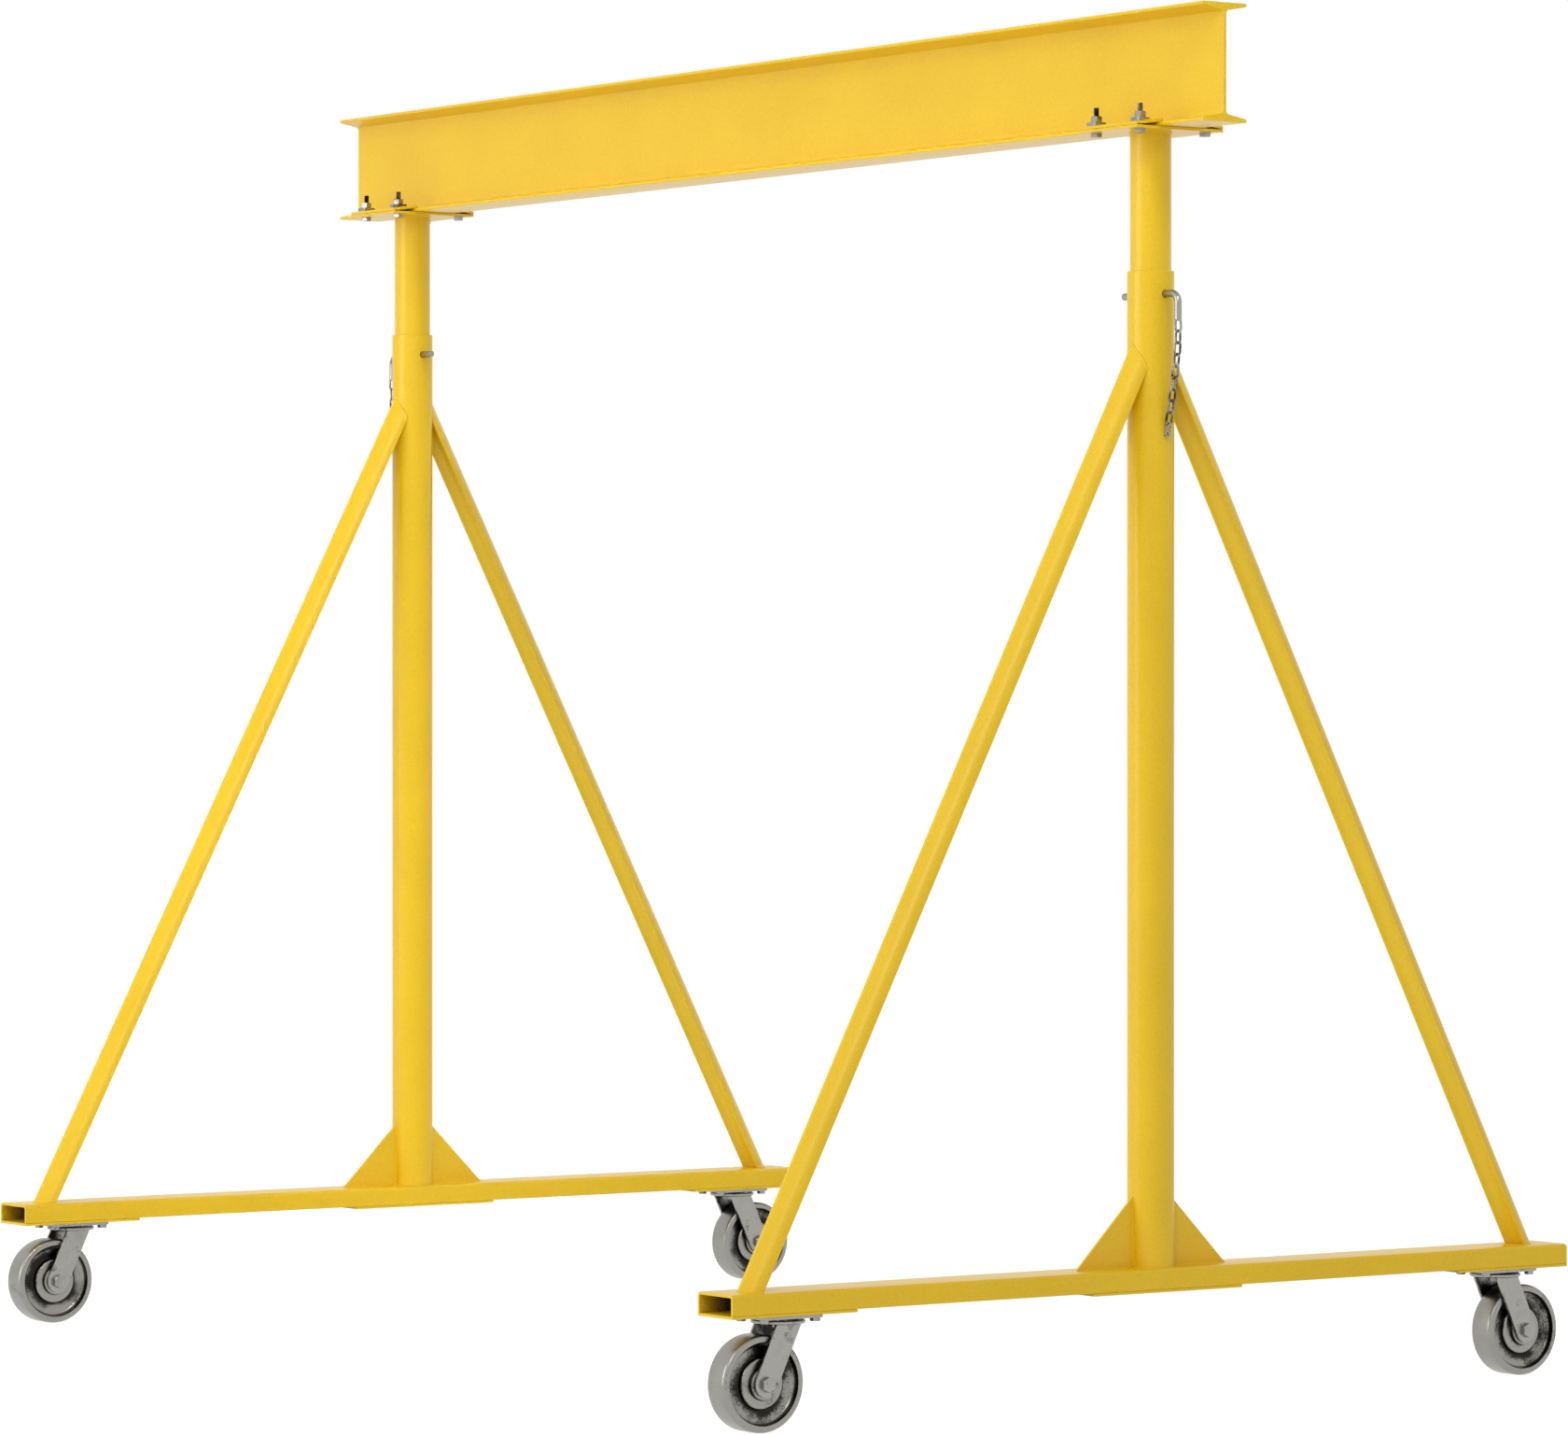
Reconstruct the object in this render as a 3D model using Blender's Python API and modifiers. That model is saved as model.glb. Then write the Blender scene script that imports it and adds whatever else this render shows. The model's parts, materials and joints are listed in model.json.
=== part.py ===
"""Portable gantry crane: an I-beam on two telescoping A-frame legs that roll on swivel casters.

Frame, in metres: X runs along the beam, Y along the base rails and Z up. The origin is on the
floor under the middle of the beam. The front is -Y, and the right leg is the one at +X.

Each leg is modelled about its own mast axis with its outer side at +X. The left leg is the same
leg turned half round, so what is at its front is at the right leg's back before the turn.
"""

import math

import bmesh
import bpy
from mathutils import Matrix, Vector

INCH = 0.0254
GAP = 0.0003                        # left between two pieces that touch

# Beam: a rolled section whose flanges taper towards their tips
BEAM_LENGTH = 138 * INCH
BEAM_DEPTH = 10 * INCH
BEAM_WIDTH = 0.1184
BEAM_WEB = 0.0079
FLANGE_TIP = 0.0080
FLANGE_SLOPE = 1 / 6
FLANGE_TOE_RADIUS = 0.004
BEAM_FILLET = 0.008

# Legs
MAST_SPACING = 118 * INCH           # between the two mast axes, along the beam
MAST_RADIUS = 2 * INCH
MAST_WALL = 0.226 * INCH
MAST_LENGTH = 84.5 * INCH
MAST_RIM_CHAMFER = 0.0012
MAST_PLAY = 0.024 * INCH            # all round, between the two masts
INNER_MAST_RADIUS = MAST_RADIUS - MAST_WALL - MAST_PLAY
INNER_MAST_WALL = 0.216 * INCH
INNER_MAST_LENGTH = 60 * INCH
INNER_MAST_SHOWING = 11.75 * INCH   # above the outer mast at the lowest setting

# Height lock
PIN_RADIUS = 5 / 16 * INCH
PIN_HOLE_RADIUS = 11 / 32 * INCH
PIN_BELOW_RIM = 2 * INCH
HOLE_PITCH = 6 * INCH
HOLE_COUNT = 7
PIN_TIP_REACH = MAST_RADIUS + 0.0517    # from the mast axis to the pin's tip
PIN_HANDLE_REACH = MAST_RADIUS + 0.0344 # from the mast axis to the handle's centre line
PIN_HANDLE_DROP = 0.0600            # from the pin's centre line to the handle's end
PIN_BEND_RADIUS = 0.0215            # to the centre line
PIN_TIP_CHAMFER = 0.0020
CHAIN_HOLE_RADIUS = 0.0030
CHAIN_HOLE_UP = 0.0075              # from the handle's end

# Keeper chain, from the handle's end to a stud on the mast
STUD_DROP = 12 * INCH               # from the pin to the stud
STUD_RADIUS = 0.0030
STUD_LENGTH = 0.0075
STUD_HEAD_RADIUS = 0.0062
STUD_HEAD_THICKNESS = 0.0025
CHAIN_RADIUS = 0.0050
CHAIN_BOW = 0.0190                  # how far its curve is drawn outwards between its ends

# Base rail: a pressed channel, open side down
RAIL_LENGTH = 90 * INCH
RAIL_WIDTH = 5 * INCH
RAIL_HEIGHT = 1.75 * INCH
RAIL_WALL = 0.25 * INCH
RAIL_CORNER_RADIUS = 3 / 8 * INCH
PLATE_THICKNESS = 0.25 * INCH       # pads, gussets, saddle and clamp plates
PAD_LENGTH = 12.5 * INCH
CENTRE_PAD_LENGTH = 16 * INCH
GUSSET_SIZE = 6 * INCH

# Braces: a pressed angle, ridge outwards, whose edges are turned in a little
BRACE_FROM_END = 0.0564             # from the rail's end to the ridge, on top of the rail
BRACE_BELOW_RIM = 0.1586            # from the mast's rim to where the ridge meets the mast
BRACE_WALL = 3 / 16 * INCH
BRACE_RIDGE_RADIUS = 0.0096
BRACE_PITCH = 38.0                  # degrees, from a face to the flat across both faces
BRACE_FACE = 0.0318
BRACE_LIP = 0.0170
BRACE_LIP_TURN = 40.0               # degrees
BRACE_BEND_RADIUS = 0.0440
BRACE_RIDGE_INSET = 0.0002          # from the line through the foot to the ridge's crown

# Saddles: a plate under the beam, clamped to its lower flange
SADDLE_LENGTH = 8 * INCH
SADDLE_WIDTH = 0.2380
CLAMP_GRIP = 0.0122                 # how far a clamp plate reaches over the flange
CLAMP_TIP = BEAM_WIDTH / 2 - CLAMP_GRIP
CLAMP_BOLT_X = 3 * INCH
CLAMP_BOLT_Y = 3.5 * INCH
CLAMP_BOLT_RADIUS = 0.25 * INCH
CLAMP_BOLT_HOLE_RADIUS = 9 / 32 * INCH
CLAMP_HEAD_FLATS = 0.875 * INCH
CLAMP_HEAD_HEIGHT = 0.0090
CLAMP_NUT_HEIGHT = 0.0130
CLAMP_BOLT_ABOVE_NUT = 0.0185
CLAMP_WASHER = 1.25 * INCH          # square, level on top and sloping below
CLAMP_WASHER_MIDDLE = 0.0060

# Casters
CASTER_HEIGHT = 9.5 * INCH
CASTER_FROM_END = 6.25 * INCH       # from the rail's end to the swivel axis
CASTER_TRAIL = 2.25 * INCH
WHEEL_RADIUS = 4 * INCH
WHEEL_WIDTH = 2.5 * INCH
WHEEL_SHOULDER = 0.0080
RIM_DEPTH = 0.0146                  # from the tread in to the dish
RIM_INNER_RADIUS = WHEEL_RADIUS - RIM_DEPTH
DISH_DEPTH = 0.0140
HUB_RADIUS = 0.0570
HUB_INSET = 0.0060                  # from the rim's face to the hub's face
BOSS_RADIUS = 0.0330
BOSS_PROUD = 0.0020                 # from the rim's face to the boss's face
AXLE_RADIUS = 0.375 * INCH
AXLE_CLEARANCE = 0.0004
AXLE_HEAD_FLATS = 1.125 * INCH
AXLE_HEAD_HEIGHT = 0.0095
CASTER_PLATE_LENGTH = 6 * INCH
CASTER_PLATE_WIDTH = 4.5 * INCH
CASTER_PLATE_THICKNESS = 0.25 * INCH
CASTER_BOLT_X = 1.6875 * INCH
CASTER_BOLT_Y = 2.5 * INCH
CASTER_BOLT_RADIUS = 0.25 * INCH
CASTER_BOLT_HOLE_RADIUS = 9 / 32 * INCH
CASTER_BOLT_FLATS = 0.75 * INCH
CASTER_BOLT_HEAD = 0.0080
CASTER_NUT_HEIGHT = 0.0110
RACE_RADIUS = 2.25 * INCH
UPPER_RACE_RADIUS = 2.125 * INCH
UPPER_RACE_HEIGHT = 0.0040
RACE_CLEARANCE = 0.0005
CROWN_THICKNESS = 0.0075
KINGPIN_RADIUS = 0.0100
KINGPIN_NUT_FLATS = 0.0260
KINGPIN_NUT_HEIGHT = 0.0100
FORK_LEG_THICKNESS = 0.0080
FORK_SIDE_CLEARANCE = 0.0006        # from the wheel's boss to the fork
FORK_TOP_WIDTH = 0.0620
FORK_END_RADIUS = 0.0280

# Number of flats round each kind of round piece
PIPE_SIDES = 32
WHEEL_SIDES = 32
SHAFT_SIDES = 16
BOLT_SIDES = 12
HOLE_SIDES = 12
DISC_SIDES = 32
ARC_STEPS = 4                       # for each bend of a section

# Heights that follow from the sizes above
RAIL_BOTTOM = CASTER_HEIGHT + PLATE_THICKNESS
RAIL_TOP = RAIL_BOTTOM + RAIL_HEIGHT
MAST_TOP = RAIL_TOP + MAST_LENGTH
PIN_HEIGHT = MAST_TOP - PIN_BELOW_RIM
SADDLE_BOTTOM = MAST_TOP + INNER_MAST_SHOWING
BEAM_BOTTOM = SADDLE_BOTTOM + PLATE_THICKNESS
CASTER_Y = RAIL_LENGTH / 2 - CASTER_FROM_END
BRACE_FOOT = RAIL_LENGTH / 2 - BRACE_FROM_END
BRACE_SLOPE = (BRACE_FOOT - MAST_RADIUS) / (MAST_TOP - BRACE_BELOW_RIM - RAIL_TOP)
FORK_INNER = WHEEL_WIDTH / 2 + BOSS_PROUD + FORK_SIDE_CLEARANCE
CROWN_TOP = CASTER_HEIGHT - CASTER_PLATE_THICKNESS - UPPER_RACE_HEIGHT - RACE_CLEARANCE
CROWN_BOTTOM = CROWN_TOP - CROWN_THICKNESS

YELLOW = ("yellow_powder_coat", (0.86, 0.58, 0.04), 0.35, 0.0)
ZINC = ("zinc_plated_steel", (0.55, 0.55, 0.53), 0.38, 0.9)
STEEL = ("plain_steel", (0.50, 0.50, 0.49), 0.35, 1.0)


# ---------------------------------------------------------------- scene

def clear_scene():
    for obj in list(bpy.data.objects):
        bpy.data.objects.remove(obj, do_unlink=True)


def parts_collection():
    name = "portable_gantry_crane"
    found = bpy.data.collections.get(name)
    if found is None:
        found = bpy.data.collections.new(name)
        bpy.context.scene.collection.children.link(found)
    return found


def material(finish):
    name, colour, roughness, metallic = finish
    found = bpy.data.materials.get(name)
    if found is None:
        found = bpy.data.materials.new(name)
        found.use_nodes = True
        shader = found.node_tree.nodes["Principled BSDF"]
        shader.inputs["Base Color"].default_value = (*colour, 1.0)
        shader.inputs["Roughness"].default_value = roughness
        shader.inputs["Metallic"].default_value = metallic
    return found


def empty(name, location, turn=0.0, parent=None):
    obj = bpy.data.objects.new(name, None)
    obj.location = location
    obj.rotation_euler.z = turn
    obj.parent = parent
    parts_collection().objects.link(obj)
    return obj


def part(name, mesh, finish, parent=None, location=(0, 0, 0), turn=0.0):
    """One named piece, which may share its mesh with another."""
    if not mesh.materials:
        mesh.materials.append(material(finish))
    obj = bpy.data.objects.new(name, mesh)
    obj.location = location
    obj.rotation_euler.z = turn
    obj.parent = parent
    parts_collection().objects.link(obj)
    return obj


# ---------------------------------------------------------------- shapes

def to_mesh(bm, name="shape"):
    mesh = bpy.data.meshes.new(name)
    bm.to_mesh(mesh)
    bm.free()
    return mesh


def evaluated(obj):
    """The mesh of a scratch object with its modifiers applied; the object goes."""
    scene = bpy.context.scene.collection
    scene.objects.link(obj)
    bpy.context.view_layer.update()
    graph = bpy.context.evaluated_depsgraph_get()
    mesh = bpy.data.meshes.new_from_object(obj.evaluated_get(graph))
    bpy.data.objects.remove(obj, do_unlink=True)
    bm = bmesh.new()
    bm.from_mesh(mesh)
    bmesh.ops.remove_doubles(bm, verts=bm.verts, dist=0.000001)
    bm.to_mesh(mesh)
    bm.free()
    return mesh


def box(low, high):
    """A box from one corner to the opposite one."""
    low, high = Vector(low), Vector(high)
    bm = bmesh.new()
    size = Matrix.Diagonal((*(high - low), 1.0))
    bmesh.ops.create_cube(bm, size=1.0, matrix=Matrix.Translation((low + high) / 2) @ size)
    return to_mesh(bm)


def cylinder(radius, start, end, sides=BOLT_SIDES):
    """A cylinder, or a prism with few sides, between two points on its axis."""
    start, end = Vector(start), Vector(end)
    along = end - start
    turn = along.to_track_quat("Z", "Y").to_matrix().to_4x4()
    bm = bmesh.new()
    bmesh.ops.create_cone(
        bm, cap_ends=True, segments=sides, radius1=radius, radius2=radius,
        depth=along.length, matrix=Matrix.Translation((start + end) / 2) @ turn)
    return to_mesh(bm)


def hexagon(flats, start, end):
    return cylinder(flats / 2 / math.cos(math.radians(30)), start, end, sides=6)


def extruded(outline, depth):
    """A flat outline in XY, given its depth along Z about Z = 0."""
    curve = bpy.data.curves.new("outline", "CURVE")
    curve.dimensions = "2D"
    curve.fill_mode = "BOTH"
    curve.extrude = depth / 2
    spline = curve.splines.new("POLY")
    spline.points.add(len(outline) - 1)
    for point, (x, y) in zip(spline.points, outline):
        point.co = (x, y, 0, 1)
    spline.use_cyclic_u = True
    return evaluated(bpy.data.objects.new("outline", curve))


def turned(profile, sides):
    """A closed profile of (radius, height) points, going down its outer side, turned about Z."""
    bm = bmesh.new()
    corners = [bm.verts.new((radius, 0, height)) for radius, height in profile]
    for first, second in zip(corners, corners[1:] + corners[:1]):
        bm.edges.new((first, second))
    obj = bpy.data.objects.new("turned", to_mesh(bm))
    screw = obj.modifiers.new("turn", "SCREW")
    screw.steps = screw.render_steps = sides
    screw.use_merge_vertices = True
    screw.merge_threshold = 0.00001
    return evaluated(obj)


def bar(points, radius, resolution):
    """A round bar along a path, with flat ends."""
    curve = bpy.data.curves.new("bar", "CURVE")
    curve.dimensions = "3D"
    curve.bevel_depth = radius
    curve.bevel_resolution = resolution
    curve.use_fill_caps = True
    spline = curve.splines.new("POLY")
    spline.points.add(len(points) - 1)
    for place, point in zip(spline.points, points):
        place.co = (*point, 1)
    return evaluated(bpy.data.objects.new("bar", curve))


def moved(mesh, matrix):
    copy = mesh.copy()
    copy.transform(matrix)
    return copy


def combined(body, tools, operation):
    """A body after each tool is cut from it (DIFFERENCE) or joined to it (UNION)."""
    obj = bpy.data.objects.new("body", body)
    helpers = []
    for tool in tools:
        helper = bpy.data.objects.new("tool", tool)
        helper.hide_render = True
        helper.display_type = "WIRE"
        bpy.context.scene.collection.objects.link(helper)
        helpers.append(helper)
        modifier = obj.modifiers.new("tool", "BOOLEAN")
        modifier.operation = operation
        modifier.object = helper
    mesh = evaluated(obj)
    for helper in helpers:
        bpy.data.objects.remove(helper, do_unlink=True)
    return mesh


def cut(body, *tools):
    return combined(body, tools, "DIFFERENCE")


def joined(body, *tools):
    return combined(body, tools, "UNION")


def arc(centre, radius, start, end, steps=ARC_STEPS):
    """Points on a circle, between two angles in degrees."""
    angles = [math.radians(start + (end - start) * i / steps) for i in range(steps + 1)]
    return [(centre[0] + radius * math.cos(a), centre[1] + radius * math.sin(a)) for a in angles]


def pressed_section(start, heading, pieces, wall):
    """Outline of a sheet folded to the right along its outer face.

    Each piece is a straight length, or a (turn in degrees, outer radius) pair for a bend.
    """
    x, y = start
    outer = [(x, y)]
    inner = []

    def inside(px, py, angle):
        return px + wall * math.sin(angle), py - wall * math.cos(angle)

    angle = math.radians(heading)
    inner.append(inside(x, y, angle))
    for piece in pieces:
        if isinstance(piece, tuple):
            turn, radius = piece
            centre = (x + radius * math.sin(angle), y - radius * math.cos(angle))
            first = math.degrees(angle) + 90
            outer += arc(centre, radius, first, first - turn)[1:]
            inner += arc(centre, radius - wall, first, first - turn)[1:]
            angle -= math.radians(turn)
            x, y = outer[-1]
        else:
            x += piece * math.cos(angle)
            y += piece * math.sin(angle)
            outer.append((x, y))
            inner.append(inside(x, y, angle))
    return outer + inner[::-1]


def slab(outline, low_x, high_x):
    """An outline in the YZ plane, given its thickness along X."""
    standing = Matrix(((0, 0, 1), (1, 0, 0), (0, 1, 0))).to_4x4()
    middle = Matrix.Translation(((low_x + high_x) / 2, 0, 0))
    return moved(extruded(outline, high_x - low_x), middle @ standing)


# ---------------------------------------------------------------- beam and saddles

def beam_outline():
    """The beam's section, in Y and Z, about the middle of its underside."""
    half_width, half_web = BEAM_WIDTH / 2, BEAM_WEB / 2
    slope = math.degrees(math.atan(FLANGE_SLOPE))
    root = FLANGE_TIP + (half_width - half_web) * FLANGE_SLOPE
    reach = BEAM_FILLET * math.tan(math.radians(90 - slope) / 2)
    fillet_centre = (half_web + BEAM_FILLET, root + reach)
    toe_centre = (half_width - FLANGE_TOE_RADIUS, FLANGE_TIP - FLANGE_TOE_RADIUS)
    quarter = [(half_width, 0)]
    quarter += arc(toe_centre, FLANGE_TOE_RADIUS, 0, 90 - slope, 3)
    quarter += arc(fillet_centre, BEAM_FILLET, 270 - slope, 180, 3)
    upper = [(y, BEAM_DEPTH - z) for y, z in reversed(quarter)]
    right = quarter + upper
    return right + [(-y, z) for y, z in reversed(right)]


def beam_mesh():
    section = moved(slab(beam_outline(), -BEAM_LENGTH / 2, BEAM_LENGTH / 2),
                    Matrix.Translation((0, 0, BEAM_BOTTOM)))
    return section


def clamp_rise():
    """Slope of a clamp plate, from the saddle plate up to its line above the flange."""
    flange_there = FLANGE_TIP + (BEAM_WIDTH / 2 - CLAMP_TIP) * FLANGE_SLOPE
    return flange_there / (SADDLE_WIDTH / 2 - CLAMP_TIP)


def clamp_top(y):
    """Height of a clamp plate's upper face above the saddle plate, at a distance y out."""
    rise = clamp_rise()
    return GAP + (SADDLE_WIDTH / 2 - y) * rise + PLATE_THICKNESS * math.sqrt(1 + rise * rise)


def clamp_places():
    return [(x, y) for x in (-CLAMP_BOLT_X, CLAMP_BOLT_X) for y in (-CLAMP_BOLT_Y, CLAMP_BOLT_Y)]


def saddle_plate_mesh():
    half_x, half_y = SADDLE_LENGTH / 2, SADDLE_WIDTH / 2
    plate = box((-half_x, -half_y, SADDLE_BOTTOM), (half_x, half_y, BEAM_BOTTOM - GAP))
    holes = [cylinder(CLAMP_BOLT_HOLE_RADIUS, (x, y, SADDLE_BOTTOM - 0.01),
                      (x, y, BEAM_BOTTOM + 0.01), HOLE_SIDES) for x, y in clamp_places()]
    return cut(plate, *holes)


def clamp_plate_mesh():
    """The clamp plate at +Y, which rests on the saddle plate and leans on the flange."""
    half_x, outer = SADDLE_LENGTH / 2, SADDLE_WIDTH / 2
    foot = BEAM_BOTTOM + GAP
    lift = clamp_rise() * (outer - CLAMP_TIP)
    thick = PLATE_THICKNESS * math.sqrt(1 + clamp_rise() ** 2)
    outline = [(CLAMP_TIP, foot + lift), (outer, foot), (outer, foot + thick),
               (CLAMP_TIP, foot + lift + thick)]
    holes = [cylinder(CLAMP_BOLT_HOLE_RADIUS, (x, CLAMP_BOLT_Y, BEAM_BOTTOM - 0.01),
                      (x, CLAMP_BOLT_Y, BEAM_BOTTOM + 0.05), HOLE_SIDES)
             for x in (-CLAMP_BOLT_X, CLAMP_BOLT_X)]
    return cut(slab(outline, -half_x, half_x), *holes)


def clamp_bolt_mesh():
    """Bolt, nut and square washer for the +Y side, about the bolt's own axis."""
    seat = BEAM_BOTTOM + clamp_top(CLAMP_BOLT_Y) + GAP
    half = CLAMP_WASHER / 2
    top, slope = seat + CLAMP_WASHER_MIDDLE, clamp_rise() * half
    washer = slab([(-half, seat + slope), (half, seat - slope), (half, top), (-half, top)],
                  -half, half)
    nut_foot = seat + CLAMP_WASHER_MIDDLE * 0.6
    nut_top = seat + PLATE_THICKNESS + CLAMP_NUT_HEIGHT
    under = SADDLE_BOTTOM - GAP
    shank = cylinder(CLAMP_BOLT_RADIUS, (0, 0, under - CLAMP_HEAD_HEIGHT / 2),
                     (0, 0, nut_top + CLAMP_BOLT_ABOVE_NUT))
    head = hexagon(CLAMP_HEAD_FLATS, (0, 0, under - CLAMP_HEAD_HEIGHT), (0, 0, under))
    nut = hexagon(CLAMP_HEAD_FLATS, (0, 0, nut_foot), (0, 0, nut_top))
    return joined(shank, head, washer, nut)


def pipe(radius, wall, low, high, chamfer=0.0):
    """A tube standing on Z, whose top rim may be chamfered outside."""
    profile = [(radius, low), (radius - wall, low), (radius - wall, high)]
    if chamfer:
        profile += [(radius - chamfer, high), (radius, high - chamfer)]
    else:
        profile += [(radius, high)]
    return turned(profile, PIPE_SIDES)


def cross_hole(height):
    reach = 2 * MAST_RADIUS
    return cylinder(PIN_HOLE_RADIUS, (-reach, 0, height), (reach, 0, height), HOLE_SIDES)


def inner_mast_mesh():
    tube = pipe(INNER_MAST_RADIUS, INNER_MAST_WALL,
                SADDLE_BOTTOM - INNER_MAST_LENGTH, SADDLE_BOTTOM - GAP)
    return cut(tube, *[cross_hole(PIN_HEIGHT - i * HOLE_PITCH) for i in range(HOLE_COUNT)])


def build_saddle(side, parent, meshes):
    turn = side_turn(side)
    hub = empty(side + "_saddle", (side_sign(side) * MAST_SPACING / 2, 0, 0), turn, parent)
    part(side + "_saddle_plate", meshes["saddle_plate"], YELLOW, hub)
    part(side + "_inner_mast", meshes["inner_mast"], YELLOW, hub)
    for local_y in (-1, 1):
        end = end_name(side, local_y)
        half_turn = 0.0 if local_y > 0 else math.pi
        part(f"{side}_{end}_clamp_plate", meshes["clamp_plate"], YELLOW, hub, turn=half_turn)
        for local_x in (-1, 1):
            place = (local_x * CLAMP_BOLT_X, local_y * CLAMP_BOLT_Y, 0)
            where = "outer" if local_x > 0 else "inner"
            part(f"{side}_{end}_{where}_clamp_bolt", meshes["clamp_bolt"], STEEL, hub,
                 place, half_turn)


# ---------------------------------------------------------------- legs

def mast_mesh():
    tube = pipe(MAST_RADIUS, MAST_WALL, RAIL_TOP + GAP, MAST_TOP, MAST_RIM_CHAMFER)
    return cut(tube, cross_hole(PIN_HEIGHT))


def rail_mesh():
    """An inverted channel along Y."""
    side_run = RAIL_HEIGHT - GAP - RAIL_CORNER_RADIUS
    top_run = RAIL_WIDTH - 2 * RAIL_CORNER_RADIUS
    bend = (90, RAIL_CORNER_RADIUS)
    outline = pressed_section((-RAIL_WIDTH / 2, RAIL_BOTTOM + GAP), 90,
                              [side_run, bend, top_run, bend, side_run], RAIL_WALL)
    lying = Matrix(((1, 0, 0), (0, 0, -1), (0, 1, 0))).to_4x4()
    return moved(extruded(outline, RAIL_LENGTH), lying)


def caster_pad_mesh():
    """The pad at -Y, flush with the rail's end and drilled for the caster's bolts."""
    end = RAIL_LENGTH / 2
    plate = box((-RAIL_WIDTH / 2, -end, CASTER_HEIGHT + GAP),
                (RAIL_WIDTH / 2, PAD_LENGTH - end, RAIL_BOTTOM))
    holes = [cylinder(CASTER_BOLT_HOLE_RADIUS, (x, y - CASTER_Y, CASTER_HEIGHT - 0.01),
                      (x, y - CASTER_Y, RAIL_BOTTOM + 0.01), HOLE_SIDES)
             for x, y in caster_bolt_places()]
    return cut(plate, *holes)


def centre_pad_mesh():
    return box((-RAIL_WIDTH / 2, -CENTRE_PAD_LENGTH / 2, CASTER_HEIGHT + GAP),
               (RAIL_WIDTH / 2, CENTRE_PAD_LENGTH / 2, RAIL_BOTTOM))


def gusset_mesh():
    """The gusset at -Y, a right triangle between the rail and the mast."""
    near, foot = MAST_RADIUS + GAP, RAIL_TOP + GAP
    outline = [(-near, foot), (-near, foot + GUSSET_SIZE), (-near - GUSSET_SIZE, foot)]
    return slab(outline, -PLATE_THICKNESS / 2, PLATE_THICKNESS / 2)


def brace_outline():
    """The brace's section: x across it, y outwards, about the line through its foot."""
    tangent = BRACE_BEND_RADIUS * math.tan(math.radians(BRACE_LIP_TURN) / 2)
    lip, face = BRACE_LIP - tangent, BRACE_FACE - tangent
    fold = (BRACE_LIP_TURN, BRACE_BEND_RADIUS)
    pieces = [lip, fold, face, (2 * BRACE_PITCH, BRACE_RIDGE_RADIUS), face, fold, lip]
    outline = pressed_section((0, 0), BRACE_PITCH + BRACE_LIP_TURN, pieces, BRACE_WALL)
    crown = max(y for _, y in outline)
    middle = (min(x for x, _ in outline) + max(x for x, _ in outline)) / 2
    return [(x - middle, y - crown - BRACE_RIDGE_INSET) for x, y in outline]


def brace_mesh():
    """The brace at -Y: cut level on the rail and coped round the mast."""
    lean = math.atan(BRACE_SLOPE)
    outwards = Vector((0, -math.cos(lean), math.sin(lean)))
    along = Vector((0, math.sin(lean), math.cos(lean)))
    length = BRACE_FOOT / math.sin(lean)
    spare = 3 * BRACE_FACE
    frame = Matrix((Vector((1, 0, 0)), outwards, -along)).transposed().to_4x4()
    foot = Vector((0, -BRACE_FOOT, RAIL_TOP))
    middle = foot + along * length / 2
    bare = moved(extruded(brace_outline(), length + 2 * spare),
                 Matrix.Translation(middle) @ frame)
    reach = BRACE_FOOT + 1.0
    floor = box((-0.2, -reach, RAIL_TOP - 1.0), (0.2, reach, RAIL_TOP + GAP))
    mast = cylinder(MAST_RADIUS + GAP, (0, 0, RAIL_TOP - 0.1),
                    (0, 0, RAIL_TOP + 2 * length), 2 * PIPE_SIDES)
    beyond = box((-0.2, -MAST_RADIUS / 2, RAIL_TOP - 0.2), (0.2, reach, RAIL_TOP + 2 * length))
    return cut(bare, floor, mast, beyond)


def stud_mesh():
    """The chain's stud, on the mast's outer side."""
    height = PIN_HEIGHT - STUD_DROP
    start = MAST_RADIUS + GAP
    neck = start + STUD_LENGTH
    shank = cylinder(STUD_RADIUS, (start, 0, height), (neck + STUD_HEAD_THICKNESS / 2, 0, height))
    head = cylinder(STUD_HEAD_RADIUS, (neck, 0, height),
                    (neck + STUD_HEAD_THICKNESS, 0, height))
    return joined(shank, head)


def pin_mesh():
    """The lock pin: through the mast along X, then bent down into its handle."""
    bend_x, bend_z = PIN_HANDLE_REACH - PIN_BEND_RADIUS, PIN_HEIGHT - PIN_BEND_RADIUS
    bend = arc((bend_x, bend_z), PIN_BEND_RADIUS, 90, 0, 6)
    path = [(-PIN_TIP_REACH, PIN_HEIGHT)] + bend + [(PIN_HANDLE_REACH, PIN_HEIGHT - PIN_HANDLE_DROP)]
    rod = bar([(x, 0, z) for x, z in path], PIN_RADIUS, 4)
    hole_z = PIN_HEIGHT - PIN_HANDLE_DROP + CHAIN_HOLE_UP
    reach = 2 * PIN_RADIUS
    hole = cylinder(CHAIN_HOLE_RADIUS, (PIN_HANDLE_REACH, -reach, hole_z),
                    (PIN_HANDLE_REACH, reach, hole_z), 12)
    return cut(rod, hole)


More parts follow.
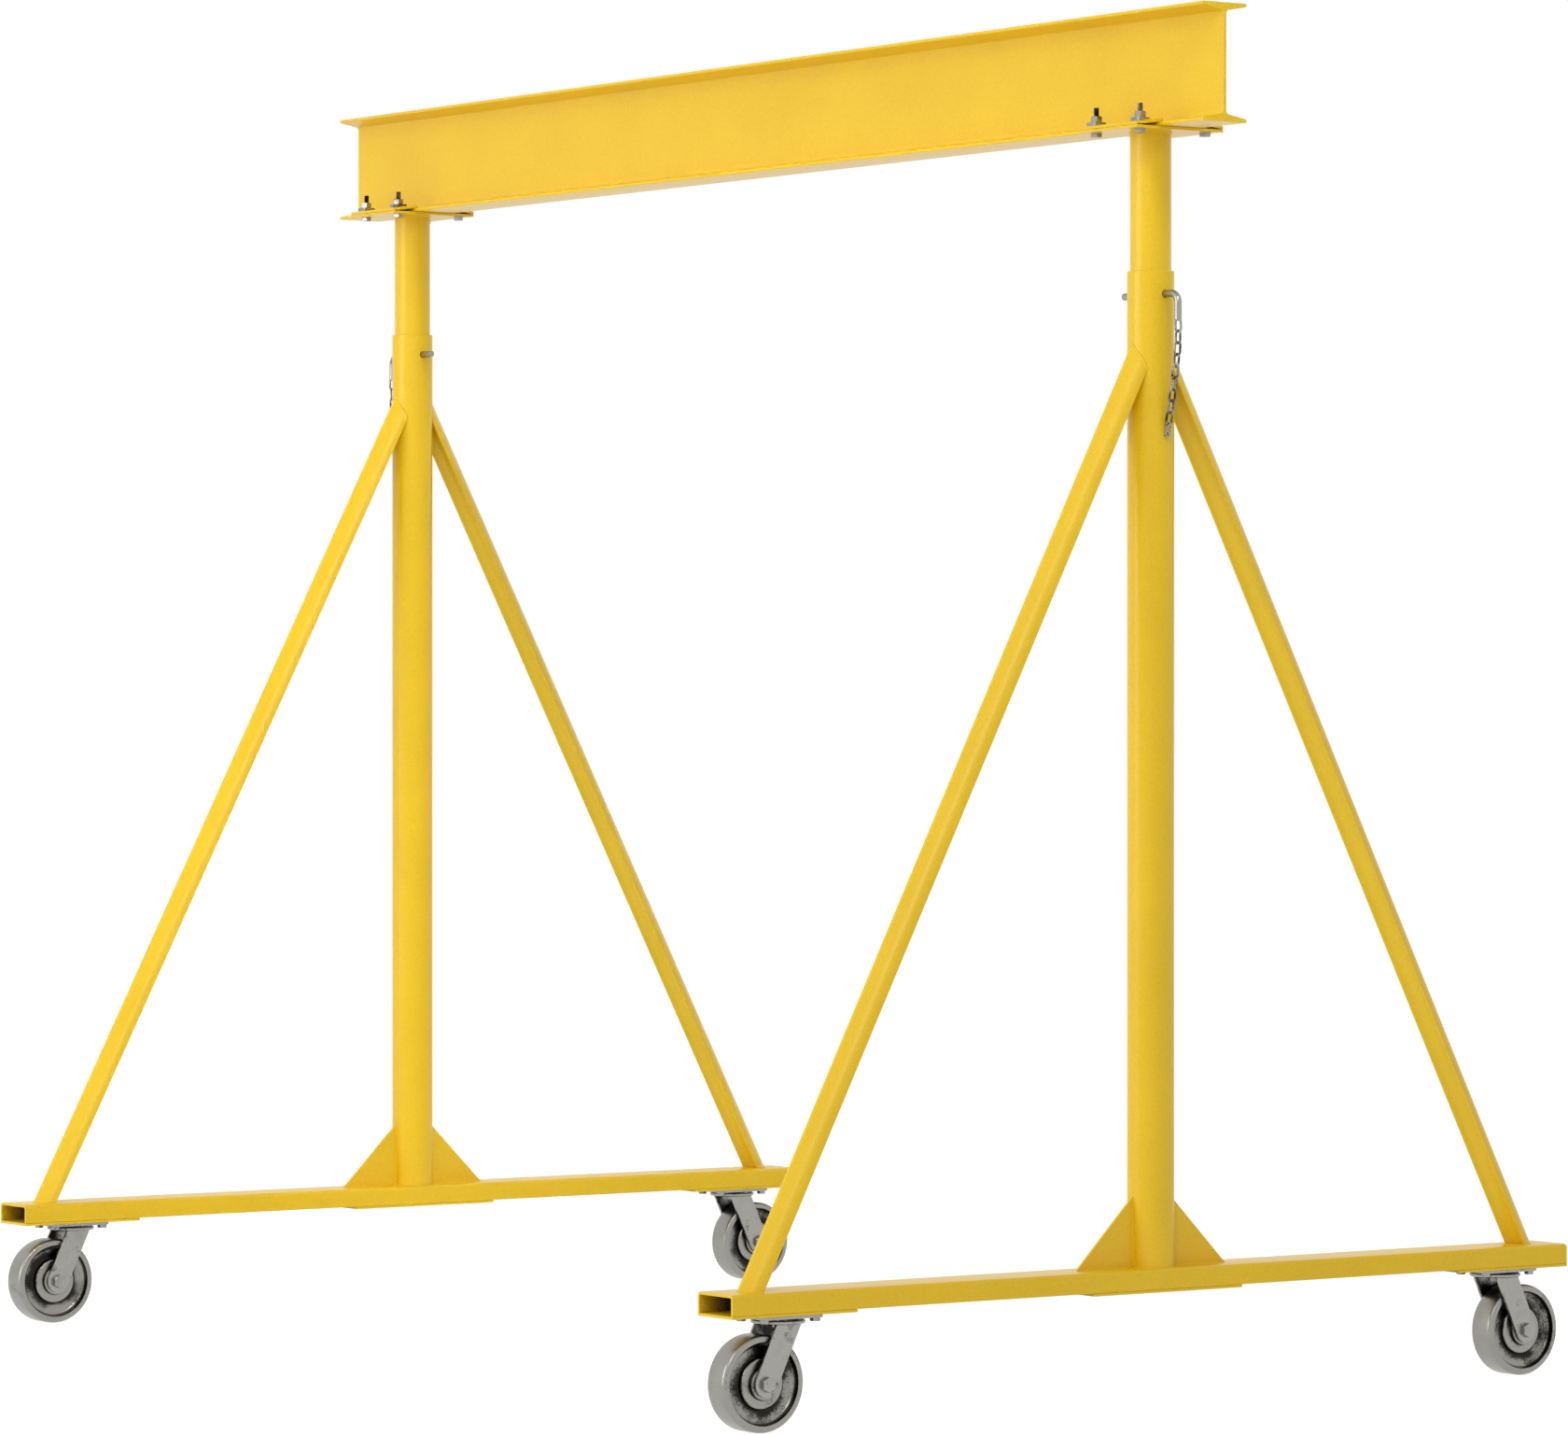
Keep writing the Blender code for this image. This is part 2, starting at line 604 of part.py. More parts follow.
def chain_path(count=10):
    """The keeper chain's centre line, a hanging curve from the handle's end to the stud."""
    top = Vector((PIN_HANDLE_REACH, 0, PIN_HEIGHT - PIN_HANDLE_DROP - GAP))
    stud_x = MAST_RADIUS + STUD_LENGTH + CHAIN_RADIUS
    low_z = PIN_HEIGHT - STUD_DROP + STUD_HEAD_RADIUS + CHAIN_RADIUS
    bottom = Vector((stud_x, 0, low_z))
    drop = top.z - bottom.z
    upper = top + Vector((CHAIN_BOW / 6, 0, -drop / 3))
    lower = bottom + Vector((CHAIN_BOW, 0, drop / 3))
    points = []
    for i in range(count + 1):
        t = i / count
        s = 1 - t
        points.append(s ** 3 * top + 3 * s * s * t * upper + 3 * s * t * t * lower + t ** 3 * bottom)
    return points


def chain_mesh():
    return bar(chain_path(), CHAIN_RADIUS, 1)


def build_leg(side, parent, meshes):
    turn = side_turn(side)
    hub = empty(side + "_leg", (side_sign(side) * MAST_SPACING / 2, 0, 0), turn, parent)
    part(side + "_mast", meshes["mast"], YELLOW, hub)
    part(side + "_base_rail", meshes["rail"], YELLOW, hub)
    part(side + "_centre_pad", meshes["centre_pad"], YELLOW, hub)
    part(side + "_chain_stud", meshes["stud"], YELLOW, hub)
    part(side + "_keeper_chain", meshes["chain"], STEEL, hub)
    part(side + "_lock_pin", meshes["pin"], STEEL, hub)
    for local_y in (-1, 1):
        end = end_name(side, local_y)
        half_turn = 0.0 if local_y < 0 else math.pi
        part(f"{side}_{end}_brace", meshes["brace"], YELLOW, hub, turn=half_turn)
        part(f"{side}_{end}_gusset", meshes["gusset"], YELLOW, hub, turn=half_turn)
        part(f"{side}_{end}_caster_pad", meshes["caster_pad"], YELLOW, hub, turn=half_turn)
        build_caster(f"{side}_{end}", hub, local_y, half_turn, meshes)


# ---------------------------------------------------------------- casters

def caster_bolt_places():
    return [(x, y) for x in (-CASTER_BOLT_X, CASTER_BOLT_X)
            for y in (-CASTER_BOLT_Y, CASTER_BOLT_Y)]


def caster_plate_mesh():
    """Top plate with its upper race, kingpin and four bolts."""
    top = CASTER_HEIGHT
    foot = top - CASTER_PLATE_THICKNESS
    half_x, half_y = CASTER_PLATE_WIDTH / 2, CASTER_PLATE_LENGTH / 2
    plate = box((-half_x, -half_y, foot), (half_x, half_y, top))
    race_foot = foot - UPPER_RACE_HEIGHT
    nut_top = CROWN_BOTTOM - RACE_CLEARANCE
    pieces = [cylinder(UPPER_RACE_RADIUS, (0, 0, race_foot), (0, 0, foot + 0.001), DISC_SIDES),
              cylinder(KINGPIN_RADIUS, (0, 0, nut_top - KINGPIN_NUT_HEIGHT / 2),
                       (0, 0, foot + 0.001), SHAFT_SIDES),
              hexagon(KINGPIN_NUT_FLATS, (0, 0, nut_top - KINGPIN_NUT_HEIGHT), (0, 0, nut_top))]
    nut_foot = RAIL_BOTTOM + GAP
    for x, y in caster_bolt_places():
        pieces.append(cylinder(CASTER_BOLT_RADIUS, (x, y, foot - CASTER_BOLT_HEAD / 2),
                               (x, y, nut_foot + CASTER_NUT_HEIGHT + 0.004)))
        pieces.append(hexagon(CASTER_BOLT_FLATS, (x, y, foot - CASTER_BOLT_HEAD),
                              (x, y, foot + 0.001)))
        pieces.append(hexagon(CASTER_BOLT_FLATS, (x, y, nut_foot),
                              (x, y, nut_foot + CASTER_NUT_HEIGHT)))
    return joined(plate, *pieces)


def fork_leg_outline():
    """One fork leg in Y and Z, from the crown down round the axle behind the swivel axis."""
    axle = (-CASTER_TRAIL, WHEEL_RADIUS)
    half = FORK_TOP_WIDTH / 2
    top = CROWN_TOP - CROWN_THICKNESS / 2
    rear = Vector((half - axle[0], top - axle[1]))
    front = Vector((-half - axle[0], top - axle[1]))

    def tangent(corner, hand):
        spread = math.degrees(math.acos(FORK_END_RADIUS / corner.length))
        return math.degrees(math.atan2(corner.y, corner.x)) + hand * spread

    rounding = arc(axle, FORK_END_RADIUS, tangent(rear, -1), tangent(front, 1) - 360, 10)
    return [(half, top)] + rounding + [(-half, top)]


def fork_mesh():
    """Crown and two legs, bored for the kingpin and the axle."""
    crown = cylinder(RACE_RADIUS, (0, 0, CROWN_BOTTOM), (0, 0, CROWN_TOP), DISC_SIDES)
    outer = FORK_INNER + FORK_LEG_THICKNESS
    legs = [slab(fork_leg_outline(), FORK_INNER, outer), slab(fork_leg_outline(), -outer, -FORK_INNER)]
    kingpin = cylinder(KINGPIN_RADIUS + AXLE_CLEARANCE, (0, 0, CROWN_BOTTOM - 0.01),
                       (0, 0, CROWN_TOP + 0.01), SHAFT_SIDES)
    axle = cylinder(AXLE_RADIUS + AXLE_CLEARANCE, (-2 * outer, -CASTER_TRAIL, WHEEL_RADIUS),
                    (2 * outer, -CASTER_TRAIL, WHEEL_RADIUS), SHAFT_SIDES)
    return cut(joined(crown, *legs), kingpin, axle)


def wheel_mesh():
    """Wheel about its own axle, along X: dished face, hub and boss on both sides."""
    half = WHEEL_WIDTH / 2
    hub, boss = half - HUB_INSET, half + BOSS_PROUD
    bore = AXLE_RADIUS + AXLE_CLEARANCE
    shoulder = arc((WHEEL_RADIUS - WHEEL_SHOULDER, half - WHEEL_SHOULDER), WHEEL_SHOULDER, 90, 0, 2)
    side = [(bore, boss), (BOSS_RADIUS, boss), (BOSS_RADIUS, hub), (HUB_RADIUS, hub),
            (HUB_RADIUS, half - DISH_DEPTH), (RIM_INNER_RADIUS - 0.004, half - DISH_DEPTH / 2),
            (RIM_INNER_RADIUS, half)] + shoulder
    profile = side + [(radius, -along) for radius, along in reversed(side)]
    lying = Matrix.Rotation(math.radians(90), 4, "Y")
    return moved(turned(profile, WHEEL_SIDES), lying)


def axle_mesh():
    """Axle bolt through the fork, with a hexagon at each end, about its own middle."""
    outer = FORK_INNER + FORK_LEG_THICKNESS + GAP
    end = outer + AXLE_HEAD_HEIGHT
    shank = cylinder(AXLE_RADIUS, (-end + 0.002, 0, 0), (end - 0.002, 0, 0), SHAFT_SIDES)
    heads = [hexagon(AXLE_HEAD_FLATS, (outer, 0, 0), (end, 0, 0)),
             hexagon(AXLE_HEAD_FLATS, (-end, 0, 0), (-outer, 0, 0))]
    return joined(shank, *heads)


def build_caster(name, leg, local_y, half_turn, meshes):
    """A caster whose wheel trails towards the rail's end."""
    swivel = empty(name + "_caster", (0, local_y * CASTER_Y, 0), half_turn, leg)
    axle_place = (0, -CASTER_TRAIL, WHEEL_RADIUS)
    part(name + "_caster_plate", meshes["caster_plate"], ZINC, swivel)
    part(name + "_caster_fork", meshes["fork"], ZINC, swivel)
    part(name + "_caster_axle", meshes["axle"], ZINC, swivel, axle_place)
    part(name + "_caster_wheel", meshes["wheel"], ZINC, swivel, axle_place)


# ---------------------------------------------------------------- assembly

def side_sign(side):
    return 1 if side == "right" else -1


def side_turn(side):
    return 0.0 if side == "right" else math.pi


def end_name(side, local_y):
    return "rear" if local_y * side_sign(side) > 0 else "front"


def main():
    clear_scene()
    crane = empty("crane", (0, 0, 0))
    part("i_beam", beam_mesh(), YELLOW, crane)
    saddle_meshes = {"saddle_plate": saddle_plate_mesh(), "inner_mast": inner_mast_mesh(),
                     "clamp_plate": clamp_plate_mesh(), "clamp_bolt": clamp_bolt_mesh()}
    leg_meshes = {"mast": mast_mesh(), "rail": rail_mesh(), "centre_pad": centre_pad_mesh(),
                  "stud": stud_mesh(), "chain": chain_mesh(), "pin": pin_mesh(),
                  "brace": brace_mesh(), "gusset": gusset_mesh(),
                  "caster_pad": caster_pad_mesh(), "caster_plate": caster_plate_mesh(),
                  "fork": fork_mesh(), "axle": axle_mesh(), "wheel": wheel_mesh()}
    for side in ("left", "right"):
        build_saddle(side, crane, saddle_meshes)
        build_leg(side, crane, leg_meshes)


main()
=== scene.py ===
"""Looks for a portable gantry crane: an I-beam clamped on two telescoping A-frame legs that roll
on swivel casters. Metres; +X along the beam, +Y along the base rails, +Z up, from the floor."""

import json

import bmesh
import bpy
import numpy as np
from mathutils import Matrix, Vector

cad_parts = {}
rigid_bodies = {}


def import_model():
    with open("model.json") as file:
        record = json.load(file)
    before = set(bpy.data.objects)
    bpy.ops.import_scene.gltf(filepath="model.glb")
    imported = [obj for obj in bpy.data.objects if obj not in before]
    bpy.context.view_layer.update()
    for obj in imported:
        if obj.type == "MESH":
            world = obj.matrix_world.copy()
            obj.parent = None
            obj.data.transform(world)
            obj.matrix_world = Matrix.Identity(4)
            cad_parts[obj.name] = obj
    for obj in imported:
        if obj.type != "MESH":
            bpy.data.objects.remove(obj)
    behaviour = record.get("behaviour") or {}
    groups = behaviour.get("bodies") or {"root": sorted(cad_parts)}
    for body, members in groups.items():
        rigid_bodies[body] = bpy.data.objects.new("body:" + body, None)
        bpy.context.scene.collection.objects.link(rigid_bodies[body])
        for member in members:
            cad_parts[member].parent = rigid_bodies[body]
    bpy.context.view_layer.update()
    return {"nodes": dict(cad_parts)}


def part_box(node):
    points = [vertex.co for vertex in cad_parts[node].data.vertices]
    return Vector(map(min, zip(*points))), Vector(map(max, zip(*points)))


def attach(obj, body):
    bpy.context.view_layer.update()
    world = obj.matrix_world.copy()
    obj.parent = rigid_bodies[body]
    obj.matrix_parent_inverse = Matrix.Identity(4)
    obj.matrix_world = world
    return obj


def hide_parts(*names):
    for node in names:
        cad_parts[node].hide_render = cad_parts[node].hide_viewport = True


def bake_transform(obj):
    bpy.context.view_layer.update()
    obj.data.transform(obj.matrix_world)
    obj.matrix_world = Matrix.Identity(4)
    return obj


for thing in list(bpy.data.objects):
    bpy.data.objects.remove(thing, do_unlink=True)
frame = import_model()
nodes = frame["nodes"]


# ---- The view --------------------------------------------------------------------------------
# A long lens at the height of a person's chest, level, and well back from the crane, so that the
# uprights stay upright. It looks at the crane from beyond its right leg.

view = bpy.data.cameras.new("view")
view.lens = 151.843
view.sensor_width = 36.0
view.shift_x = 0.0202381
view.shift_y = -0.0068452
view.clip_end = 400.0
camera = bpy.data.objects.new("view", view)
camera.location = (12.6952, -8.8893, 1.4993)
camera.rotation_euler = (np.radians(90), 0.0, np.radians(55))
bpy.context.scene.collection.objects.link(camera)
bpy.context.scene.camera = camera
bpy.context.scene.view_settings.view_transform = "Standard"


# ---- The studio ------------------------------------------------------------------------------
# A white floor and white surroundings, one large soft lamp to the left of the camera, one above
# it, and a narrow one for the far leg. Where it's seen, the floor is part matt and part glow: it
# stays white, with a faint shadow under the wheels.

WHITE = (1.0, 1.0, 1.0, 1.0)
FLOOR_COLOUR = (0.92, 0.92, 0.92, 1.0)
FLOOR_GLOW = 1.2
GLOW_SHARE = 0.75
FLOOR_REACH = 150.0
FLOOR_DROP = 0.0005


def feed(tree, node, inputs):
    """Give each input a value, another node's output, or another node's first output."""
    for name, value in inputs.items():
        if isinstance(value, bpy.types.Node):
            value = value.outputs[0]
        if isinstance(value, bpy.types.NodeSocket):
            tree.links.new(value, node.inputs[name])
        else:
            node.inputs[name].default_value = value


def wired(tree, kind, inputs=None, **settings):
    """A new shader node of a kind, with its settings and inputs."""
    node = tree.nodes.new("ShaderNode" + kind)
    for name, value in settings.items():
        setattr(node, name, value)
    feed(tree, node, inputs or {})
    return node


def seen_directly(tree):
    """1 for what the camera sees, itself or in metal, gloss or glass, and 0 for other light."""
    ray = wired(tree, "LightPath").outputs
    mirrored = wired(tree, "Math", {0: ray["Is Glossy Ray"], 1: ray["Is Transmission Ray"]},
                     operation="MAXIMUM")
    return wired(tree, "Math", {0: ray["Is Camera Ray"], 1: mirrored}, operation="MAXIMUM")


world = bpy.data.worlds.new("white_studio")
world.use_nodes = True
bpy.context.scene.world = world
sky = world.node_tree
sky.nodes.clear()
direction = wired(sky, "TexCoord").outputs["Generated"]
facing = wired(sky, "VectorMath", {0: direction, 1: (-0.25, -0.95, 0.15)},
               operation="DOT_PRODUCT").outputs["Value"]
walls = wired(sky, "MapRange", {"Value": facing, "From Min": -0.75, "From Max": 0.60,
                                "To Min": 0.48, "To Max": 0.80},
              interpolation_type="SMOOTHSTEP")
room = wired(sky, "Background", {"Color": WHITE, "Strength": walls})
backdrop = wired(sky, "Background", {"Color": WHITE, "Strength": 1.0})
choice = wired(sky, "MixShader", {0: seen_directly(sky), 1: room, 2: backdrop})
wired(sky, "OutputWorld", {"Surface": choice})

floor_mesh = bpy.data.meshes.new("floor")
floor_mesh.from_pydata([(x * FLOOR_REACH, y * FLOOR_REACH, 0)
                        for x, y in ((-1, -1), (1, -1), (1, 1), (-1, 1))], [], [(0, 1, 2, 3)])
floor = bpy.data.objects.new("floor", floor_mesh)
floor.location.z = -FLOOR_DROP
bpy.context.scene.collection.objects.link(floor)
white_floor = bpy.data.materials.new("white_floor")
white_floor.use_nodes = True
tree = white_floor.node_tree
tree.nodes.clear()
matt = wired(tree, "BsdfDiffuse", {"Color": FLOOR_COLOUR})
bright = wired(tree, "Emission", {"Color": WHITE, "Strength": FLOOR_GLOW})
share = wired(tree, "Math", {0: seen_directly(tree), 1: GLOW_SHARE}, operation="MULTIPLY")
lit = wired(tree, "MixShader", {0: share, 1: matt, 2: bright})
wired(tree, "OutputMaterial", {"Surface": lit})
floor_mesh.materials.append(white_floor)


def soft_lamp(name, place, aim, size, power, spread=180):
    """A square area lamp at a place, turned towards a point, its beam's spread in degrees."""
    lamp = bpy.data.lights.new(name, "AREA")
    lamp.shape = "SQUARE"
    lamp.size = size
    lamp.energy = power
    lamp.spread = np.radians(spread)
    obj = bpy.data.objects.new(name, lamp)
    obj.location = place
    obj.rotation_euler = (Vector(aim) - Vector(place)).to_track_quat("-Z", "Y").to_euler()
    bpy.context.scene.collection.objects.link(obj)


soft_lamp("left_lamp", (-2.7, -12.3, 4.0), (0.0, 0.0, 1.5), 6.0, 400.0)
soft_lamp("high_lamp", (8.24, -7.2, 8.0), (1.7, -0.6, 1.1), 2.4, 160.0)
soft_lamp("far_leg_lamp", (6.5, -1.9, 8.5), (-1.7, 0.0, 0.9), 2.0, 6.0, 20)


# ---- Beam ------------------------------------------------------------------------------------
# A hot-rolled steel I-beam whose flanges thin towards their tips, sawn square at both ends and
# powder-coated yellow over a lightly scaled surface. A trolley can run on its lower flange.

BEAM_WEB = 0.0079
FLANGE_TIP = 0.0080
FLANGE_SLOPE = 1 / 6
FLANGE_TOE_RADIUS = 0.004
BEAM_FILLET = 0.008
SAW_EDGE = 0.0012
PAINT_COLOURS = (0.755, 0.483, 0.005, 1.0), (0.890, 0.580, 0.011, 1.0)
MERGE = 1e-6


def new_material(name):
    """A material, its node tree and its one shader."""
    found = bpy.data.materials.new(name)
    found.use_nodes = True
    return found, found.node_tree, found.node_tree.nodes["Principled BSDF"]


def powder_coat(name, colours):
    """Cured powder: grains and soft clouds in its colour, orange peel, satin gloss."""
    paint, tree, shader = new_material(name)
    place = wired(tree, "TexCoord").outputs["Object"]
    clouds = wired(tree, "TexNoise", {"Vector": place, "Scale": 5.0, "Detail": 3.0})
    peel = wired(tree, "TexNoise", {"Vector": place, "Scale": 330.0, "Detail": 2.0})
    rolled = wired(tree, "TexNoise", {"Vector": place, "Scale": 26.0, "Detail": 2.0})
    blend = wired(tree, "Math", {0: clouds, 1: 0.45, 2: peel}, operation="MULTIPLY_ADD")
    grains = wired(tree, "MapRange", {"Value": blend, "From Min": 0.45, "From Max": 1.00})
    tint = wired(tree, "Mix", {"Factor": grains, 6: colours[0], 7: colours[1]}, data_type="RGBA")
    gloss = wired(tree, "MapRange", {"Value": clouds, "To Min": 0.28, "To Max": 0.36})
    coarse = wired(tree, "Bump", {"Height": rolled, "Strength": 0.25, "Distance": 0.0003})
    fine = wired(tree, "Bump", {"Height": peel, "Strength": 0.4, "Distance": 0.00015,
                                "Normal": coarse})
    feed(tree, shader, {"Base Color": tint.outputs[2], "Roughness": gloss, "Normal": fine,
                        "IOR": 1.42})
    return paint


PAINT = powder_coat("yellow_powder_coat", PAINT_COLOURS)


def finished(name, mesh, material, body, replaced=(), bevel=0.0, sharp=35.0):
    """A piece from its mesh: faces turned outwards, smooth but for sharp edges, on its body."""
    tidy = bmesh.new()
    tidy.from_mesh(mesh)
    bmesh.ops.remove_doubles(tidy, verts=tidy.verts, dist=MERGE)
    bmesh.ops.recalc_face_normals(tidy, faces=tidy.faces)
    tidy.to_mesh(mesh)
    tidy.free()
    mesh.materials.clear()
    mesh.materials.append(material)
    mesh.shade_smooth()
    mesh.set_sharp_from_angle(angle=np.radians(sharp))
    piece = bpy.data.objects.new(name, mesh)
    bpy.context.scene.collection.objects.link(piece)
    if bevel:
        edge = piece.modifiers.new("edge", "BEVEL")
        edge.width = bevel
        edge.segments = 2
        edge.limit_method = "ANGLE"
        edge.angle_limit = np.radians(50)
        edge.harden_normals = True
    if body:
        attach(piece, body)
    if replaced:
        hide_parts(*replaced)
    return piece


def shell_of(stacks, closed_ends=True):
    """One mesh of several stacks of closed rings, each an array (rings, points, 3).

    Neighbouring rings are joined by four-sided faces: face (i, j) has the corners (i, j),
    (i, j+1), (i+1, j+1) and (i+1, j), with j taken round the ring. Each end ring is one face.
    """
    points, faces, start = [], [], 0
    for rings in stacks:
        count, around = rings.shape[:2]
        here = start + np.arange(count * around).reshape(count, around)
        there = np.roll(here, -1, axis=1)
        quads = np.stack([here[:-1], there[:-1], there[1:], here[1:]], axis=-1)
        faces += quads.reshape(-1, 4).tolist()
        if closed_ends:
            faces += [here[0][::-1].tolist(), here[-1].tolist()]
        points.append(rings.reshape(-1, 3))
        start += count * around
    mesh = bpy.data.meshes.new("shape")
    mesh.from_pydata(np.concatenate(points).tolist(), [], faces)
    return mesh


def bend(centre, radius, start, end, steps=8):
    """Points on a circle from one angle to another, in degrees: centre + radius (cos, sin)."""
    angle = np.radians(np.linspace(start, end, steps + 1))
    return np.stack([centre[0] + radius * np.cos(angle), centre[1] + radius * np.sin(angle)], 1)


def rounded_rectangle(half_x, half_y, corner, steps):
    """Outline of a rectangle whose four corners are quarter circles."""
    quarter = bend((half_x - corner, half_y - corner), corner, 0, 90, steps)
    return np.concatenate([quarter, quarter[::-1] * (-1, 1), -quarter, quarter[::-1] * (1, -1)])


def between(outline, low, high, across=(0, 1), along=2):
    """Two rings: an outline laid in two axes, at the lowest and highest place on the third."""
    rings = np.zeros((2, len(outline), 3))
    rings[:, :, across[0]] = outline[:, 0]
    rings[:, :, across[1]] = outline[:, 1]
    rings[0, :, along] = low
    rings[1, :, along] = high
    return rings


beam_low, beam_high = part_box("i_beam")
half_flange = (beam_high.y - beam_low.y) / 2
lean = np.degrees(np.arctan(FLANGE_SLOPE))
flange_root = FLANGE_TIP + (half_flange - BEAM_WEB / 2) * FLANGE_SLOPE
fillet_rise = BEAM_FILLET * np.tan(np.radians(90 - lean) / 2)
lower_right = np.concatenate([
    [(half_flange, 0.0)],
    bend((half_flange - FLANGE_TOE_RADIUS, FLANGE_TIP - FLANGE_TOE_RADIUS), FLANGE_TOE_RADIUS,
         0, 90 - lean, 6),
    bend((BEAM_WEB / 2 + BEAM_FILLET, flange_root + fillet_rise), BEAM_FILLET, 270 - lean, 180)])
upper_right = lower_right[::-1] * (1, -1) + (0, beam_high.z - beam_low.z)
right_half = np.concatenate([lower_right, upper_right])
beam_section = np.concatenate([right_half, right_half[::-1] * (-1, 1)]) + (0, beam_low.z)
finished("beam", shell_of([between(beam_section, beam_low.x, beam_high.x, (1, 2), 0)]), PAINT,
         "beam", ["i_beam"], bevel=SAW_EDGE)


# ---- Saddle plates, clamp plates and pads ----------------------------------------------------
# Flame-cut steel plates with their edges dressed. The saddle plate is welded on the inner mast,
# and two clamp plates pinch the beam's lower flange on to it. Pads are welded under the rail.

PLATE_EDGE = 0.0009


def dressed_plate(node, body):
    """The node's own shape with its edges rounded over: a merged copy of its faces."""
    mesh = nodes[node].data.copy()
    tidy = bmesh.new()
    tidy.from_mesh(mesh)
    bmesh.ops.remove_doubles(tidy, verts=tidy.verts, dist=MERGE)
    bmesh.ops.dissolve_limit(tidy, angle_limit=np.radians(1), verts=tidy.verts, edges=tidy.edges)
    tidy.to_mesh(mesh)
    tidy.free()
    finished(node + "_dressed", mesh, PAINT, body, [node], bevel=PLATE_EDGE)


for side in ("left", "right"):
    dressed_plate(side + "_saddle_plate", side + "_saddle")
    dressed_plate(side + "_centre_pad", side + "_leg")
    for end in ("front", "rear"):
        dressed_plate(f"{side}_{end}_clamp_plate", side + "_saddle")
        dressed_plate(f"{side}_{end}_caster_pad", side + "_leg")
        dressed_plate(f"{side}_{end}_gusset", side + "_leg")


# ---- Clamp bolts -----------------------------------------------------------------------------
# Half-inch hexagon bolts through both plates of a saddle, heads below, each with a square bevel
# washer and a nut above. Zinc-plated, with rolled threads on the end that stands out.

BOLT_RADIUS = 0.00635
BOLT_END = 0.0185
THREAD_PITCH = 0.00195
HEX_FLATS = 0.875 * 0.0254
HEAD_HEIGHT = 0.0090
NUT_HEIGHT = 0.01335
WASHER_HALF = 0.0158
WASHER_THICK = 0.0060
WASHER_CORNER = 0.002
CLAMP_UPRIGHT = 0.00642
OVERLAP = 0.002
ZINC_COLOURS = (0.27, 0.267, 0.248, 1.0), (0.42, 0.415, 0.39, 1.0)
# The near-black used for painted shade on the steel parts.
PAINTED_SHADE_COLOUR = (0.022, 0.020, 0.017, 1.0)


def steel_with_painted_shade(name, colours, blotches, grain, roughness):
    """Bright steel in two greys, with painted shade and painted dark reflections as fine near-black
    specks.

    The painted shade shows where a soft noise, a fine noise and the piece's own mark for its
    corners add up to more than a limit.
    """
    metal, tree, shader = new_material(name)
    place = wired(tree, "TexCoord").outputs["Object"]
    soft = wired(tree, "TexNoise", {"Vector": place, "Scale": blotches, "Detail": 4.0})
    fine = wired(tree, "TexNoise", {"Vector": place, "Scale": grain, "Detail": 2.0})
    # A piece's corner mark says how much painted shade its rings get.
    corners = wired(tree, "Attribute", attribute_name="corner").outputs["Fac"]
    specks = wired(tree, "Math", {0: fine, 1: 0.55, 2: soft}, operation="MULTIPLY_ADD")
    shade_sum = wired(tree, "Math", {0: corners, 1: 0.5, 2: specks}, operation="MULTIPLY_ADD")
    black = wired(tree, "MapRange", {"Value": shade_sum, "From Min": 0.88, "From Max": 1.12},
                  interpolation_type="SMOOTHSTEP")
    tint = wired(tree, "Mix", {"Factor": soft, 6: colours[0], 7: colours[1]}, data_type="RGBA")
    shaded_tint = wired(tree, "Mix", {"Factor": black, 6: tint.outputs[2], 7: PAINTED_SHADE_COLOUR},
                   data_type="RGBA")
    dull = wired(tree, "MapRange", {"Value": fine, "To Min": roughness - 0.08,
                                    "To Max": roughness + 0.10})
    bump = wired(tree, "Bump", {"Height": fine, "Strength": 0.3, "Distance": 0.0003})
    feed(tree, shader, {"Base Color": shaded_tint.outputs[2], "Roughness": dull, "Normal": bump,
                        "Metallic": 1.0})
    return metal


def with_painted_shade(mesh, stacks, corners):
    """The mesh, each stack's rings given how much painted shade they get, from 0 to 1, as its
    corner mark.
    """
    marks = [np.broadcast_to(np.reshape(corner, (-1, 1)), stack.shape[:2]).ravel()
             for stack, corner in zip(stacks, corners)]
    mesh.attributes.new("corner", "FLOAT", "POINT").data.foreach_set("value", np.concatenate(marks))
    return mesh


ZINC = steel_with_painted_shade("zinc_plated_steel", ZINC_COLOURS, 30.0, 420.0, 0.26)


def hexagon_head(flats, low, high, steps=72, rounded=(True, True)):
    """Rings of a hexagon bar with turned corners, standing on z.

    At angle a the bar's side is flats / 2 over the cosine of a's distance from the middle of
    its flat; the radius is that or a 30-degree cone's from each face, whichever is less.
    """
    angle = np.linspace(0, 2 * np.pi, steps, endpoint=False)
    side = flats / 2 / np.cos((angle + np.pi / 6) % (np.pi / 3) - np.pi / 6)
    face = flats / 2 * 0.97
    drop = np.array([0.0, 0.08, 0.2, 0.4]) * (flats / 2) * 0.6
    foot = low + drop if rounded[0] else np.array([low])
    crown = high - drop[::-1] if rounded[1] else np.array([high])
    height = np.concatenate([foot, crown])
    cone = np.full(len(height), flats)
    if rounded[0]:
        cone[:len(foot)] = face + drop / np.tan(np.radians(30))
    if rounded[1]:
        cone[-len(crown):] = face + drop[::-1] / np.tan(np.radians(30))
    radius = np.minimum(side[None, :], cone[:, None])
    return np.stack([radius * np.cos(angle), radius * np.sin(angle),
                     np.repeat(height[:, None], steps, 1)], axis=-1)


